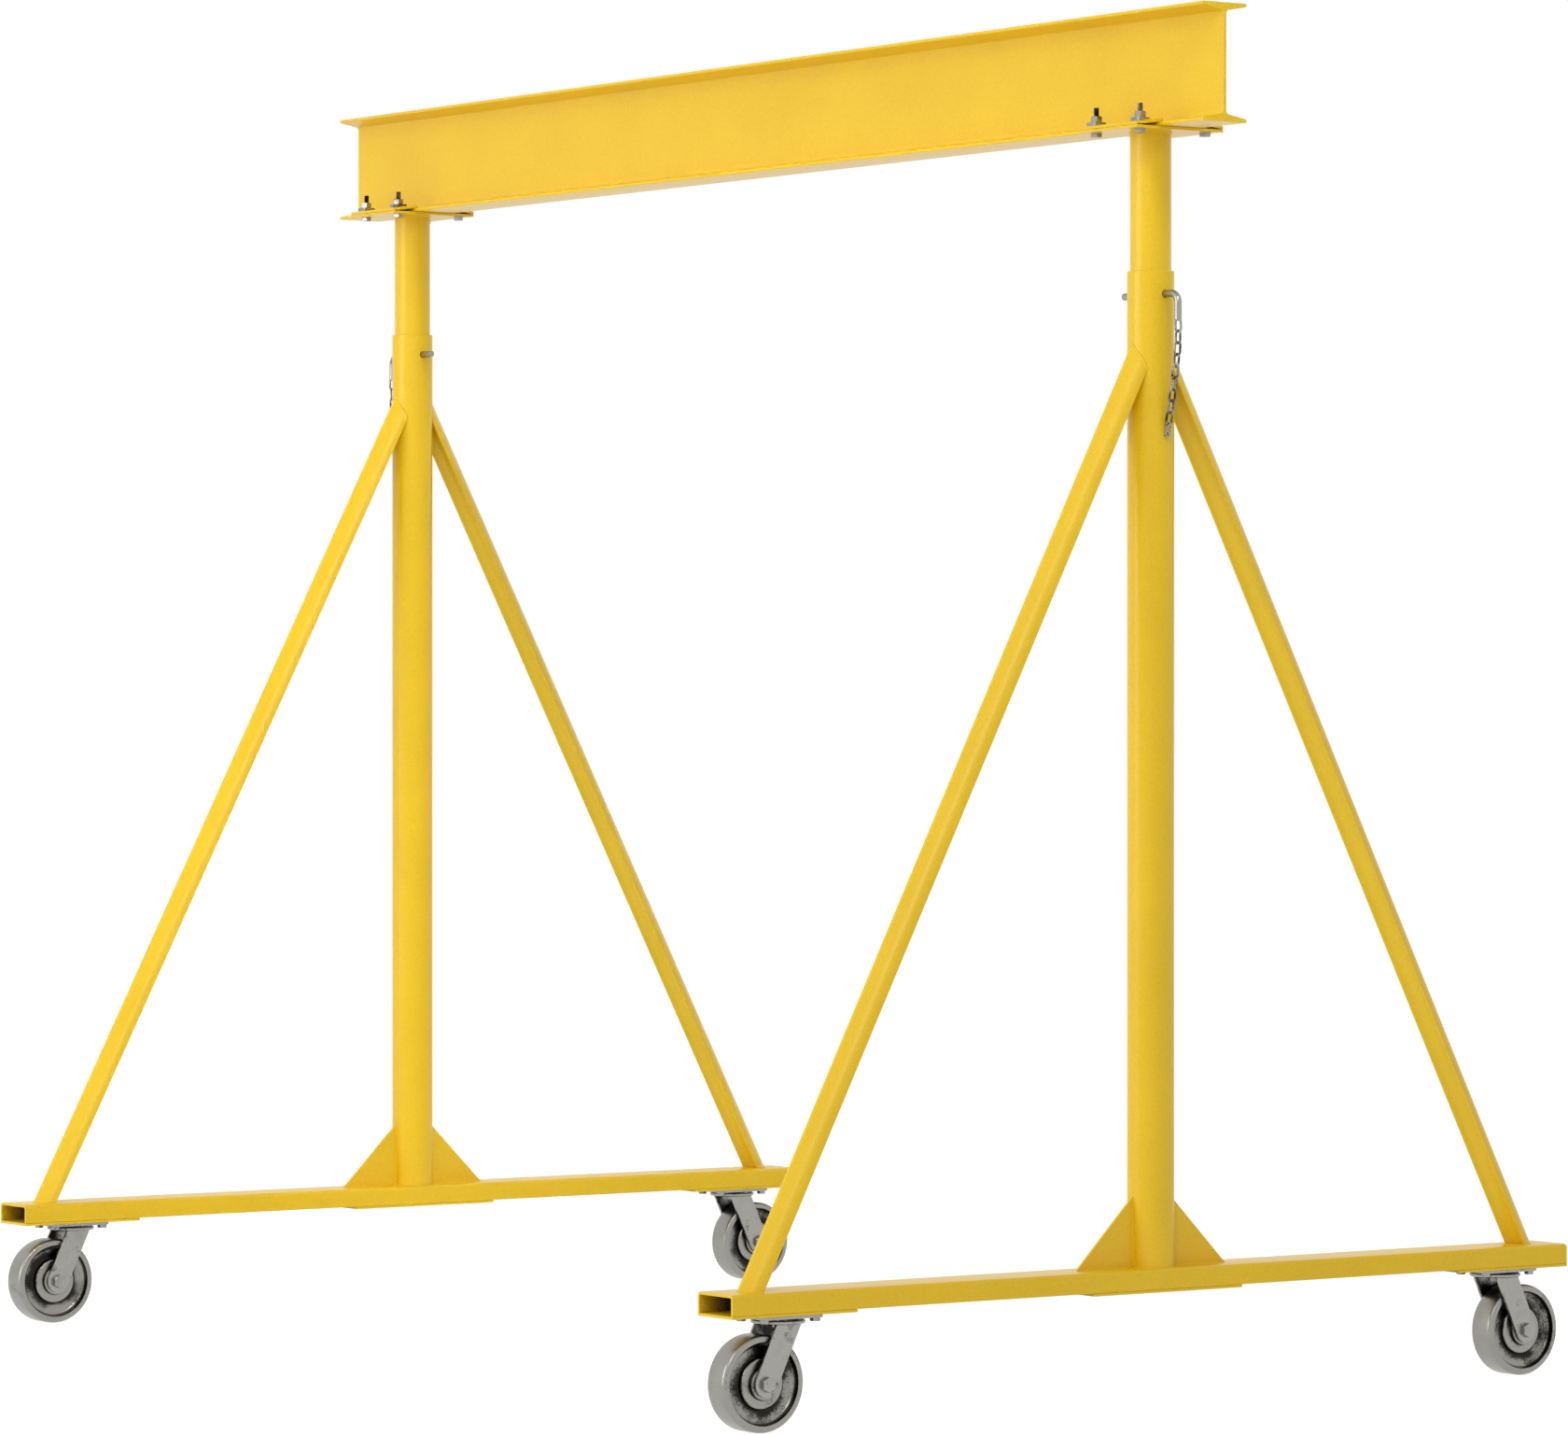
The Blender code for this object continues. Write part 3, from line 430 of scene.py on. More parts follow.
def threaded_end(radius, low, high, pitch, steps=20):
    """A rod with a rolled thread: radius less 0.55 pitch times a triangle wave.

    The wave's phase is height over pitch less the turn, so that its ridge climbs as a helix. The
    ridge fades out at the rod's end.
    """
    height = np.arange(low, high, pitch / 4)
    turn = np.arange(steps) / steps
    phase = (height[:, None] / pitch - turn[None, :]) % 1.0
    ridge = np.abs(2 * phase - 1)
    fade = np.clip((high - height) / (pitch * 1.2), 0, 1)[:, None]
    reach = radius - pitch * 0.55 * (1 - ridge * fade)
    angle = 2 * np.pi * turn
    return np.stack([reach * np.cos(angle), reach * np.sin(angle),
                     np.repeat(height[:, None], steps, 1)], axis=-1)


def bevel_washer(half, low, high, slope):
    """A square wedge with rounded corners: level on top, its underside low less slope times y."""
    outline = rounded_rectangle(half, half, WASHER_CORNER, 4)
    rings = between(outline, low, high)
    rings[0, :, 2] -= slope * outline[:, 1]
    return rings


def moved(points, turn=0.0, shift=(0, 0, 0)):
    """Points turned about z, in degrees, and then shifted."""
    c, s = np.cos(np.radians(turn)), np.sin(np.radians(turn))
    return points @ np.array([[c, s, 0], [-s, c, 0], [0, 0, 1]]) + np.array(shift)


for side in ("left", "right"):
    for end in ("front", "rear"):
        clamp_low, clamp_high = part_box(f"{side}_{end}_clamp_plate")
        outer_end = 1 if end == "rear" else -1
        rise = clamp_high.z - clamp_low.z - CLAMP_UPRIGHT
        slope = outer_end * rise / (clamp_high.y - clamp_low.y)
        for where in ("inner", "outer"):
            node = f"{side}_{end}_{where}_clamp_bolt"
            low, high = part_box(node)
            axis = ((low.x + high.x) / 2, (low.y + high.y) / 2, 0)
            nut_top = high.z - BOLT_END
            washer_top = nut_top - NUT_HEIGHT
            under = low.z + HEAD_HEIGHT
            washer = bevel_washer(WASHER_HALF, washer_top - WASHER_THICK, washer_top, slope)
            stacks = [hexagon_head(HEX_FLATS, low.z, under, rounded=(True, False)),
                      hexagon_head(HEX_FLATS, washer_top, nut_top),
                      threaded_end(BOLT_RADIUS, nut_top - 2 * OVERLAP, high.z, THREAD_PITCH),
                      washer,
                      between(bend((0, 0), BOLT_RADIUS * 0.97, 0, 345, 23), under - OVERLAP,
                              washer_top + OVERLAP)]
            stacks = [part + axis for part in stacks]
            # Painted shade on each bolt set: most on its thread, then the washer, shank, head and
            # nut.
            mesh = with_painted_shade(shell_of(stacks), stacks, (0.15, 0.15, 0.35, 0.25, 0.2))
            finished(node + "_set", mesh, ZINC, side + "_saddle", [node])


# ---- Masts -----------------------------------------------------------------------------------
# Two sizes of steel pipe, the inner sliding in the outer. The inner has a row of cross holes half
# a foot apart, and the outer has one for the pin. Both are painted.

PIN_HOLE = 11 / 32 * 0.0254
HOLE_PITCH = 6 * 0.0254
PIN_BELOW_RIM = 2 * 0.0254
OUTER_WALL = 0.226 * 0.0254
INNER_WALL = 0.216 * 0.0254
OUTER_CHAMFER = 0.0015
INNER_CHAMFER = 0.0003
HOLES = 7
COLUMNS = 96
PATCH_RINGS = 4


def holed_wall(radius, low, high, heights, hole, columns=COLUMNS, reach=4):
    """Points and faces of a pipe wall with a round hole at +x and at -x at each height.

    The wall is a grid of turn a against height: (radius cos a, radius sin a, height). Round
    each hole a square patch of the grid is left out and filled by rings that go in a straight
    line from the square to the hole's circle. The count of holes and of points round each are
    given too.
    """
    turn = 2 * np.pi * np.arange(columns) / columns
    half = radius * np.sin(turn[reach])
    offsets = np.linspace(-half, half, 2 * reach + 1)
    rows = np.sort(np.concatenate([[low, high]] + [h + offsets for h in heights]))
    grid = np.stack([np.broadcast_to(radius * np.cos(turn), (len(rows), columns)),
                     np.broadcast_to(radius * np.sin(turn), (len(rows), columns)),
                     np.broadcast_to(rows[:, None], (len(rows), columns))], axis=-1)
    index = np.arange(len(rows) * columns).reshape(len(rows), columns)
    across = np.roll(index, -1, axis=1)
    quads = np.stack([index[:-1], across[:-1], across[1:], index[1:]], axis=-1)
    middle = (rows[:-1] + rows[1:]) / 2
    near = np.zeros(len(middle), bool)
    for h in heights:
        near |= np.abs(middle - h) < half
    beyond = (np.arange(columns) + 0.5) % (columns / 2)
    beside = np.minimum(beyond, columns / 2 - beyond)
    keep = ~(near[:, None] & (beside < reach)[None, :])
    points, faces, start = [grid.reshape(-1, 3)], [quads[keep].reshape(-1, 4)], grid[..., 0].size
    side = np.arange(-reach, reach)
    square_turn = np.concatenate([side, np.full(2 * reach, reach), -side,
                                  np.full(2 * reach, -reach)]) * turn[1]
    square_rise = np.concatenate([np.full(2 * reach, -half), offsets[:-1],
                                  np.full(2 * reach, half), offsets[:0:-1]])
    angle = np.arctan2(square_rise, radius * np.sin(square_turn))
    circle_turn = np.arcsin(hole * np.cos(angle) / radius)
    circle_rise = hole * np.sin(angle)
    share = np.linspace(0, 1, PATCH_RINGS)[:, None]
    for h in heights:
        for opposite in (0.0, np.pi):
            ring_turn = square_turn * (1 - share) + circle_turn * share + opposite
            ring_rise = square_rise * (1 - share) + circle_rise * share + h
            patch = np.stack([radius * np.cos(ring_turn), radius * np.sin(ring_turn),
                              ring_rise], axis=-1)
            here = start + np.arange(patch[..., 0].size).reshape(patch.shape[:2])
            next_one = np.roll(here, -1, axis=1)
            ring_faces = np.stack([here[:-1], next_one[:-1], next_one[1:], here[1:]], axis=-1)
            points.append(patch.reshape(-1, 3))
            faces.append(ring_faces.reshape(-1, 4))
            start += patch[..., 0].size
    return np.concatenate(points), np.concatenate(faces), len(heights) * 2, 8 * reach


def pipe(radius, wall, low, high, heights, hole, chamfer):
    """A pipe on z with cross holes: its two walls, joined at both rims and round each hole."""
    outer, outer_faces, holes, around = holed_wall(radius, low, high - chamfer, heights, hole)
    inner, inner_faces, _, _ = holed_wall(radius - wall, low, high, heights, hole)
    inner_faces = inner_faces + len(outer)
    base = len(outer)
    grid_outer = len(outer) - holes * PATCH_RINGS * around
    grid_inner = len(inner) - holes * PATCH_RINGS * around
    joins = []
    for number in range(1, holes + 1):
        edge = (number * PATCH_RINGS - 1) * around + np.arange(around)
        joins.append((grid_outer + edge, base + grid_inner + edge))
    column = np.arange(COLUMNS)
    turn = 2 * np.pi * column / COLUMNS
    rim = np.stack([(radius - chamfer) * np.cos(turn), (radius - chamfer) * np.sin(turn),
                    np.full(COLUMNS, high)], axis=-1)
    lip = base + len(inner) + column
    joins += [(grid_outer - COLUMNS + column, lip), (lip, base + grid_inner - COLUMNS + column),
              (base + column, column)]
    strips = [np.stack([a, np.roll(a, -1), np.roll(b, -1), b], axis=-1) for a, b in joins]
    return (np.concatenate([outer, inner, rim]),
            np.concatenate([outer_faces, inner_faces] + strips))


def pipe_mesh(axis, *sizes):
    """The pipe of these sizes as a mesh, standing on its axis."""
    points, faces = pipe(*sizes)
    mesh = bpy.data.meshes.new("pipe")
    mesh.from_pydata((points + (axis[0], axis[1], 0)).tolist(), [], faces.tolist())
    return mesh


axes = {}
for side in ("left", "right"):
    low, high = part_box(side + "_mast")
    axes[side] = ((low.x + high.x) / 2, (low.y + high.y) / 2)
    pin_height = high.z - PIN_BELOW_RIM
    mesh = pipe_mesh(axes[side], (high.x - low.x) / 2, OUTER_WALL, low.z, high.z, [pin_height],
                     PIN_HOLE, OUTER_CHAMFER)
    finished(side + "_outer_mast", mesh, PAINT, side + "_leg", [side + "_mast"])
    low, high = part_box(side + "_inner_mast")
    heights = [pin_height - step * HOLE_PITCH for step in range(HOLES)]
    mesh = pipe_mesh(axes[side], (high.x - low.x) / 2, INNER_WALL, low.z, high.z, heights,
                     PIN_HOLE, INNER_CHAMFER)
    finished(side + "_inner_pipe", mesh, PAINT, side + "_saddle",
             [side + "_inner_mast"])


# ---- Base rails ------------------------------------------------------------------------------
# A channel pressed from quarter-inch plate and laid open side down, square-cut at both ends.
# Its two long corners keep the press tool's radius.

RAIL_WALL = 0.00635
RAIL_CORNER = 0.0095
RAIL_EDGE = 0.0008
# The near-black of the painted shade deep inside the rails.
INSIDE_SHADE_COLOUR = (0.030, 0.022, 0.012, 1.0)


def rail_inside_painted_shade(rail_end):
    """Painted shade inside the rail: the yellow coat at its open ends, near black a hand's breadth
    in.
    """
    coat, tree, shader = new_material("rail_inside_painted_shade")
    place = wired(tree, "TexCoord").outputs["Object"]
    along = wired(tree, "SeparateXYZ", {"Vector": place}).outputs["Y"]
    either_end = wired(tree, "Math", {0: along}, operation="ABSOLUTE")
    # A fine noise makes the edge of the painted shade ragged.
    powder = wired(tree, "TexNoise", {"Vector": place, "Scale": 260.0, "Detail": 3.0})
    ragged = wired(tree, "Math", {0: powder, 1: 0.06, 2: either_end}, operation="MULTIPLY_ADD")
    unshaded = wired(tree, "MapRange", {"Value": ragged, "From Min": rail_end - 0.045,
                                     "From Max": rail_end + 0.030})
    tint = wired(tree, "Mix", {"Factor": unshaded, 6: INSIDE_SHADE_COLOUR, 7: PAINT_COLOURS[0]},
                 data_type="RGBA")
    dull = wired(tree, "MapRange", {"Value": powder, "To Min": 0.45, "To Max": 0.65})
    feed(tree, shader, {"Base Color": tint.outputs[2], "Roughness": dull})
    return coat


RAIL_INSIDE_SHADE = rail_inside_painted_shade(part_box("left_base_rail")[1].y)


def folded(start, heading, pieces, wall):
    """Outline of a sheet folded to its right: its outer face there, its inner face back.

    A piece is a straight length, or (turn in degrees, outer radius) for a bend. The inner face
    lies one wall to the right of the outer one all along.
    """
    place, angle = np.array(start, float), np.radians(heading)
    outer, inner = [place], []
    aside = np.array([np.sin(angle), -np.cos(angle)])
    inner.append(place + wall * aside)
    for piece in pieces:
        if isinstance(piece, tuple):
            turn, radius = piece
            centre = place + radius * np.array([np.sin(angle), -np.cos(angle)])
            first = np.degrees(angle) + 90
            outer += list(bend(centre, radius, first, first - turn)[1:])
            inner += list(bend(centre, max(radius - wall, 0.0008), first, first - turn)[1:])
            angle -= np.radians(turn)
            place = outer[-1]
        else:
            place = place + piece * np.array([np.cos(angle), np.sin(angle)])
            outer.append(place)
            inner.append(place + wall * np.array([np.sin(angle), -np.cos(angle)]))
    return np.array(outer + inner[::-1])


for side in ("left", "right"):
    low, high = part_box(side + "_base_rail")
    across, up = high.x - low.x, high.z - low.z
    outline = folded((-across / 2, low.z), 90,
                     [up - RAIL_CORNER, (90, RAIL_CORNER), across - 2 * RAIL_CORNER,
                      (90, RAIL_CORNER), up - RAIL_CORNER], RAIL_WALL) + (axes[side][0], 0)
    mesh = shell_of([between(outline, low.y, high.y, (0, 2), 1)])
    finished(side + "_rail", mesh, PAINT, side + "_leg", [side + "_base_rail"],
             bevel=RAIL_EDGE)
    # The inside of the channel gets painted shade: yellow at the open ends, near black further in.
    mesh.materials.append(RAIL_INSIDE_SHADE)
    middles = np.empty(3 * len(mesh.polygons))
    mesh.polygons.foreach_get("center", middles)
    middles = middles.reshape(-1, 3) - (axes[side][0], 0, 0)
    # The inside, which gets the painted shade, is every face that lies deeper than the wall, except
    # the two sawn ends.
    depth = RAIL_WALL * 0.9
    within = ((np.abs(middles[:, 0]) < across / 2 - depth) & (middles[:, 2] < high.z - depth)
              & (np.abs(middles[:, 1]) < high.y / 2))
    mesh.polygons.foreach_set("material_index", within.astype(np.int32))


# ---- Braces ----------------------------------------------------------------------------------
# Pressed angles with their ridge outwards and their two edges turned in. Each is cut level where
# it stands on the rail and coped to the pipe at its top, and welded all round at both ends.
# The faces inside its fold are painted a paler yellow, as painted light.

BRACE_FOOT = 1.0866
BRACE_SLOPE = 0.5211
BRACE_WALL = 0.1875 * 0.0254
BRACE_RIDGE = 0.0096
BRACE_FACE = 0.0318
BRACE_LIP = 0.0170
BRACE_PITCH = 38.0
BRACE_TURN = 40.0
BRACE_BEND = 0.0440
BRACE_RINGS = 25
RIDGE_DROP = 0.0002
TOUCH = 0.0003
# A paler yellow painted inside the braces' folds as painted light.
FOLD_PAINTED_LIGHT_COLOURS = (0.800, 0.585, 0.025, 1.0), (0.920, 0.700, 0.035, 1.0)
FOLD_PAINTED_LIGHT = powder_coat("painted_light_in_the_fold", FOLD_PAINTED_LIGHT_COLOURS)

tangent = BRACE_BEND * np.tan(np.radians(BRACE_TURN) / 2)
one_side = [BRACE_LIP - tangent, (BRACE_TURN, BRACE_BEND), BRACE_FACE - tangent]
brace_section = folded((0, 0), BRACE_PITCH + BRACE_TURN,
                       one_side + [(2 * BRACE_PITCH, BRACE_RIDGE)] + one_side[::-1], BRACE_WALL)
brace_section -= ((brace_section[:, 0].min() + brace_section[:, 0].max()) / 2,
                  brace_section[:, 1].max() + RIDGE_DROP)


def brace_ends(section, foot_height, pipe_radius):
    """Where each line of a brace starts and ends, for the brace that runs to -y.

    A line goes through foot + x across + y outwards, along the brace. It starts on the level of
    the rail's top and ends where its distance from the mast's axis is the pipe's radius.
    """
    lean = np.arctan(BRACE_SLOPE)
    outwards = np.array([0, -np.cos(lean), np.sin(lean)])
    along = np.array([0, np.sin(lean), np.cos(lean)])
    base = np.array([0, -BRACE_FOOT, foot_height]) + section[:, :1] * (1, 0, 0)
    base = base + section[:, 1:] * outwards
    start = base + along * ((foot_height - base[:, 2]) / along[2])[:, None]
    reach = -np.sqrt(pipe_radius ** 2 - base[:, 0] ** 2)
    end = base + along * ((reach - base[:, 1]) / along[1])[:, None]
    return start, end


def end_strip(ring, other_way):
    """Faces that close a folded section's end: outer point i to its twin on the inner face."""
    count = len(ring) // 2
    outer, inner = ring[:count], ring[count:][::-1]
    quads = np.stack([outer[:-1], outer[1:], inner[1:], inner[:-1]], axis=-1)
    return quads[:, ::-1] if other_way else quads


for side in ("left", "right"):
    pipe_low, pipe_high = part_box(side + "_mast")
    pipe_radius = (pipe_high.x - pipe_low.x) / 2 + TOUCH
    rail_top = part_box(side + "_base_rail")[1].z
    foot, top = brace_ends(brace_section, rail_top + TOUCH, pipe_radius)
    share = np.linspace(0, 1, BRACE_RINGS)[:, None, None]
    rings = foot[None] * (1 - share) + top[None] * share
    index = np.arange(rings[..., 0].size).reshape(rings.shape[:2])
    beside = np.roll(index, -1, axis=1)
    walls = np.stack([index[:-1], beside[:-1], beside[1:], index[1:]], axis=-1).reshape(-1, 4)
    faces = np.concatenate([walls, end_strip(index[0], True), end_strip(index[-1], False)])
    around = rings.shape[1]
    column = np.arange(len(walls)) % around
    in_fold = np.zeros(len(faces), bool)
    in_fold[:len(walls)] = (column >= around // 2) & (column < around - 1)
    for end, way in (("front", 1), ("rear", -1)):
        points = rings.reshape(-1, 3) * (way, way, 1) + (axes[side][0], 0, 0)
        mesh = bpy.data.meshes.new("brace")
        mesh.from_pydata(points.tolist(), [], faces.tolist())
        mesh.attributes.new("in_fold", "BOOLEAN", "FACE").data.foreach_set("value", in_fold)
        finished(f"{side}_{end}_pressed_brace", mesh, PAINT, side + "_leg",
                 [f"{side}_{end}_brace"])
        # The faces inside the fold get the paler painted light.
        mesh.materials.append(FOLD_PAINTED_LIGHT)
        marks = np.empty(len(mesh.polygons), bool)
        mesh.attributes["in_fold"].data.foreach_get("value", marks)
        mesh.polygons.foreach_set("material_index", marks.astype(np.int32))


# ---- Welds -----------------------------------------------------------------------------------
# Fillet welds laid by hand and painted over: round each brace's foot and top, down both sides of
# each gusset, round the mast's foot and under the saddle plate. They show their ripples.

BEAD = 0.0024
LIP_BEAD = 0.0046
RIPPLE = 0.0044
ROUND_POINTS = 280
TOE_GAP = 0.006
LIP_RISE = 0.0020


def bead(path, size=BEAD, closed=False):
    """A weld bead: a round rod along a path, whose radius swells once for each ripple.

    Its radius is size times (1 + 0.12 sin(2 pi distance / ripple)), less at free ends. The ring
    at each point is size (cos a across + sin a over), both at right angles to the path.
    """
    around = np.roll(path, -1, axis=0) if closed else path
    length = np.linalg.norm(np.diff(around, axis=0), axis=1)
    run = np.concatenate([[0], np.cumsum(length)])[:len(path)]
    if closed:
        ahead = np.roll(path, -1, axis=0) - np.roll(path, 1, axis=0)
    else:
        ahead = np.gradient(path, axis=0)
    ahead /= np.linalg.norm(ahead, axis=1)[:, None]
    guide = np.array([0.31, 0.17, 0.94])
    across = np.cross(ahead, guide)
    across /= np.linalg.norm(across, axis=1)[:, None]
    over = np.cross(ahead, across)
    radius = size * (1 + 0.12 * np.sin(2 * np.pi * run / RIPPLE))
    if not closed:
        radius = radius * np.clip(np.minimum(run, run[-1] - run) / size, 0.25, 1) ** 0.5
    angle = 2 * np.pi * np.arange(10) / 10
    circle = (np.cos(angle)[None, :, None] * across[:, None, :]
              + np.sin(angle)[None, :, None] * over[:, None, :])
    rings = path[:, None, :] + radius[:, None, None] * circle
    return np.concatenate([rings, rings[:1]]) if closed else rings


def along_line(points, step=0.0011):
    """Points a step apart along straight stretches between the given ones."""
    points = np.asarray(points, float)
    run = np.concatenate([[0], np.cumsum(np.linalg.norm(np.diff(points, axis=0), axis=1))])
    place = np.linspace(0, run[-1], max(int(run[-1] / step), 8))
    return np.stack([np.interp(place, run, points[:, k]) for k in range(3)], axis=1)


for side in ("left", "right"):
    pipe_low, pipe_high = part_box(side + "_mast")
    pipe_radius = (pipe_high.x - pipe_low.x) / 2
    rail_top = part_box(side + "_base_rail")[1].z
    turn = 2 * np.pi * np.arange(ROUND_POINTS) / ROUND_POINTS
    round_mast = np.stack([np.cos(turn), np.sin(turn), np.zeros(ROUND_POINTS)], axis=1)
    stacks = [bead(round_mast * pipe_radius + (0, 0, rail_top), closed=True)]
    half = len(brace_section) // 2
    foot, top = brace_ends(brace_section[:half], rail_top, pipe_radius + TOUCH)
    gusset_low, gusset_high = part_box(side + "_front_gusset")
    thick = (gusset_high.x - gusset_low.x) / 2
    tall, wide = gusset_high.z, gusset_low.y
    for way in (1, -1):
        for line in (foot, top):
            stacks.append(bead(along_line(line * (way, way, 1))))
        for line in (top[:2], top[-2:]):
            stacks.append(bead(along_line(line * (way, way, 1) + (0, 0, LIP_RISE)), LIP_BEAD))
        for x in (-thick, thick):
            foot_of_mast = (x, way * -pipe_radius, rail_top)
            stacks += [bead(along_line([(x, way * -pipe_radius, tall - TOE_GAP), foot_of_mast])),
                       bead(along_line([foot_of_mast, (x, way * (wide + TOE_GAP), rail_top)]))]
    centre = (axes[side][0], 0, 0)
    finished(side + "_leg_welds", shell_of([stack + centre for stack in stacks]), PAINT,
             side + "_leg", sharp=70)
    low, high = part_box(side + "_inner_mast")
    ring = bead(round_mast * ((high.x - low.x) / 2) + (0, 0, high.z), closed=True)
    finished(side + "_saddle_weld", shell_of([ring + centre]), PAINT, side + "_saddle",
             sharp=70)


# ---- Lock pins and their keeper chains -------------------------------------------------------
# A round steel bar bent into an L: its long arm locks the two masts and its short arm is the
# handle. A short welded-link chain keeps it from being lost, looped on a stud on the mast.

PIN_RADIUS = 5 / 16 * 0.0254
PIN_BEND = 0.0215
PIN_CHAMFER = 0.0022
PIN_ROUNDING = 0.0018
LINKS = 10
LINK_WIRE = 0.0026
LINK_WIDTH = 0.0200
# How much painted shade the chain's links get.
CHAIN_PAINTED_SHADE = 0.4
STUD_RADIUS = 0.003
STUD_HEAD = 0.0062


def round_bar(path, radius, steps=24):
    """A round bar along a path that lies in the x-z plane, with a radius for each point.

    A ring is the point plus radius (cos a across + sin a y), across being at right angles to
    the path in its plane.
    """
    ahead = np.gradient(path, axis=0)
    ahead /= np.linalg.norm(ahead, axis=1)[:, None]
    over = np.broadcast_to(np.array([0.0, 1.0, 0.0]), ahead.shape)
    across = np.cross(over, ahead)
    angle = 2 * np.pi * np.arange(steps) / steps
    circle = (np.cos(angle)[None, :, None] * across[:, None, :]
              + np.sin(angle)[None, :, None] * over[:, None, :])
    return path[:, None, :] + radius[:, None, None] * circle


def chain_links(path, count, wire, width, steps=28, around=10):
    """Rings of welded links strung along a path, each a quarter turn from the last.

    A link's centre line is two straight sides and two half circles in its own plane; its wire is
    a circle carried round that line. Neighbours overlap by the wire's thickness at each end.
    """
    run = np.concatenate([[0], np.cumsum(np.linalg.norm(np.diff(path, axis=0), axis=1))])
    pitch = run[-1] / count
    middles = (np.arange(count) + 0.5) * pitch
    centre = np.stack([np.interp(middles, run, path[:, k]) for k in range(3)], axis=1)
    knots = np.arange(count + 1) * pitch
    ahead = np.diff(np.stack([np.interp(knots, run, path[:, k]) for k in range(3)], axis=1), axis=0)
    ahead /= np.linalg.norm(ahead, axis=1)[:, None]
    level = np.broadcast_to(np.array([0.0, 1.0, 0.0]), ahead.shape)
    other = np.cross(ahead, level)
    flat = np.arange(count) % 2 == 0
    across = np.where(flat[:, None], level, other)
    over = np.where(flat[:, None], other, level)
    bow = width / 2 - wire
    straight = pitch / 2 + wire - bow - wire / 2
    angle = 2 * np.pi * np.arange(steps) / steps
    push = np.where(np.cos(angle) >= 0, straight, -straight)
    line = np.stack([push + bow * np.cos(angle), bow * np.sin(angle)], axis=1)
    outward = np.stack([np.cos(angle), np.sin(angle)], axis=1)
    ring = 2 * np.pi * np.arange(around) / around
    rings = []
    for number in range(count):
        spine = (centre[number] + line[:, :1] * ahead[number] + line[:, 1:] * across[number])
        away = outward[:, :1] * ahead[number] + outward[:, 1:] * across[number]
        wall = (np.cos(ring)[None, :, None] * away[:, None, :]
                + np.sin(ring)[None, :, None] * over[number])
        link = spine[:, None, :] + wire * wall
        rings.append(np.concatenate([link, link[:1]]))
    return rings


for side, out in (("left", -1), ("right", 1)):
    low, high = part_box(side + "_lock_pin")
    place = np.array([axes[side][0], 0, 0])
    tip, handle = sorted((abs(low.x - place[0]), abs(high.x - place[0])))
    handle -= PIN_RADIUS
    height = high.z - PIN_RADIUS
    corner = bend((handle - PIN_BEND, height - PIN_BEND), PIN_BEND, 90, 0, 12)
    # From its chamfered tip, along the long arm, round the bend and down to its rounded end.
    path = np.concatenate([[(-tip, height), (-tip + 0.0004, height), (PIN_CHAMFER - tip, height),
                            (0, height)], corner,
                           [(handle, low.z + PIN_ROUNDING), (handle, low.z + 0.0003),
                            (handle, low.z)]])
    thickness = np.full(len(path), PIN_RADIUS)
    thickness[:2] -= (PIN_CHAMFER, PIN_CHAMFER - 0.0004)
    thickness[-2:] -= (PIN_ROUNDING - 0.0006, PIN_ROUNDING)
    rod = round_bar(np.stack([path[:, 0], np.zeros(len(path)), path[:, 1]], 1), thickness)
    rod = rod * (out, 1, 1) + place
    finished(side + "_pin", shell_of([rod]), ZINC, side + "_lock_pin",
             [side + "_lock_pin"])
    stud_low, stud_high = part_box(side + "_chain_stud")
    stud_z = (stud_low.z + stud_high.z) / 2
    stud_from, stud_to = sorted((abs(stud_low.x - place[0]), abs(stud_high.x - place[0])))
    # A plain stem that starts inside the mast's wall, and a thin round head.
    along = np.array([stud_from - 0.001, stud_to - 0.0027, stud_to - 0.0026, stud_to - 0.0008,
                      stud_to - 0.0002, stud_to])
    wide = np.array([STUD_RADIUS, STUD_RADIUS, STUD_HEAD, STUD_HEAD, STUD_HEAD * 0.85,
                     STUD_HEAD * 0.5])
    path = np.stack([along, np.zeros_like(along), np.full_like(along, stud_z)], 1)
    stud = round_bar(path, wide) * (out, 1, 1) + place
    finished(side + "_stud", shell_of([stud]), ZINC, side + "_leg",
             [side + "_chain_stud"])
    # The chain hangs on a cubic curve from the handle's end down to the stud.
    t = np.linspace(0, 1, 60)[:, None]
    from_pin = np.array([handle, 0, low.z + 0.0030])
    to_stud = np.array([(stud_from + stud_to) / 2 + 0.0005, 0, stud_z])
    drop = np.array([0, 0, (from_pin[2] - to_stud[2]) / 3])
    curve = ((1 - t) ** 3 * from_pin + 3 * (1 - t) ** 2 * t * (from_pin - drop + (0.004, 0, 0))
             + 3 * (1 - t) * t ** 2 * (to_stud + drop + (0.016, 0, 0)) + t ** 3 * to_stud)
    links = [ring * (out, 1, 1) + place
             for ring in chain_links(curve, LINKS, LINK_WIRE, LINK_WIDTH)]
    # The links carry painted shade all over, so they stand out dark.
    mesh = with_painted_shade(shell_of(links, closed_ends=False), links, [CHAIN_PAINTED_SHADE] * LINKS)
    chain = finished(side + "_chain", mesh, ZINC, None, [side + "_keeper_chain"],
                     sharp=80)
    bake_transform(chain)


# ---- Casters ---------------------------------------------------------------------------------
# Heavy swivel casters: a pressed top plate bolted to the rail's pad, a hardened ball race, a fork
# of two plate legs welded to a round crown, and a heavy steel wheel turned all over.

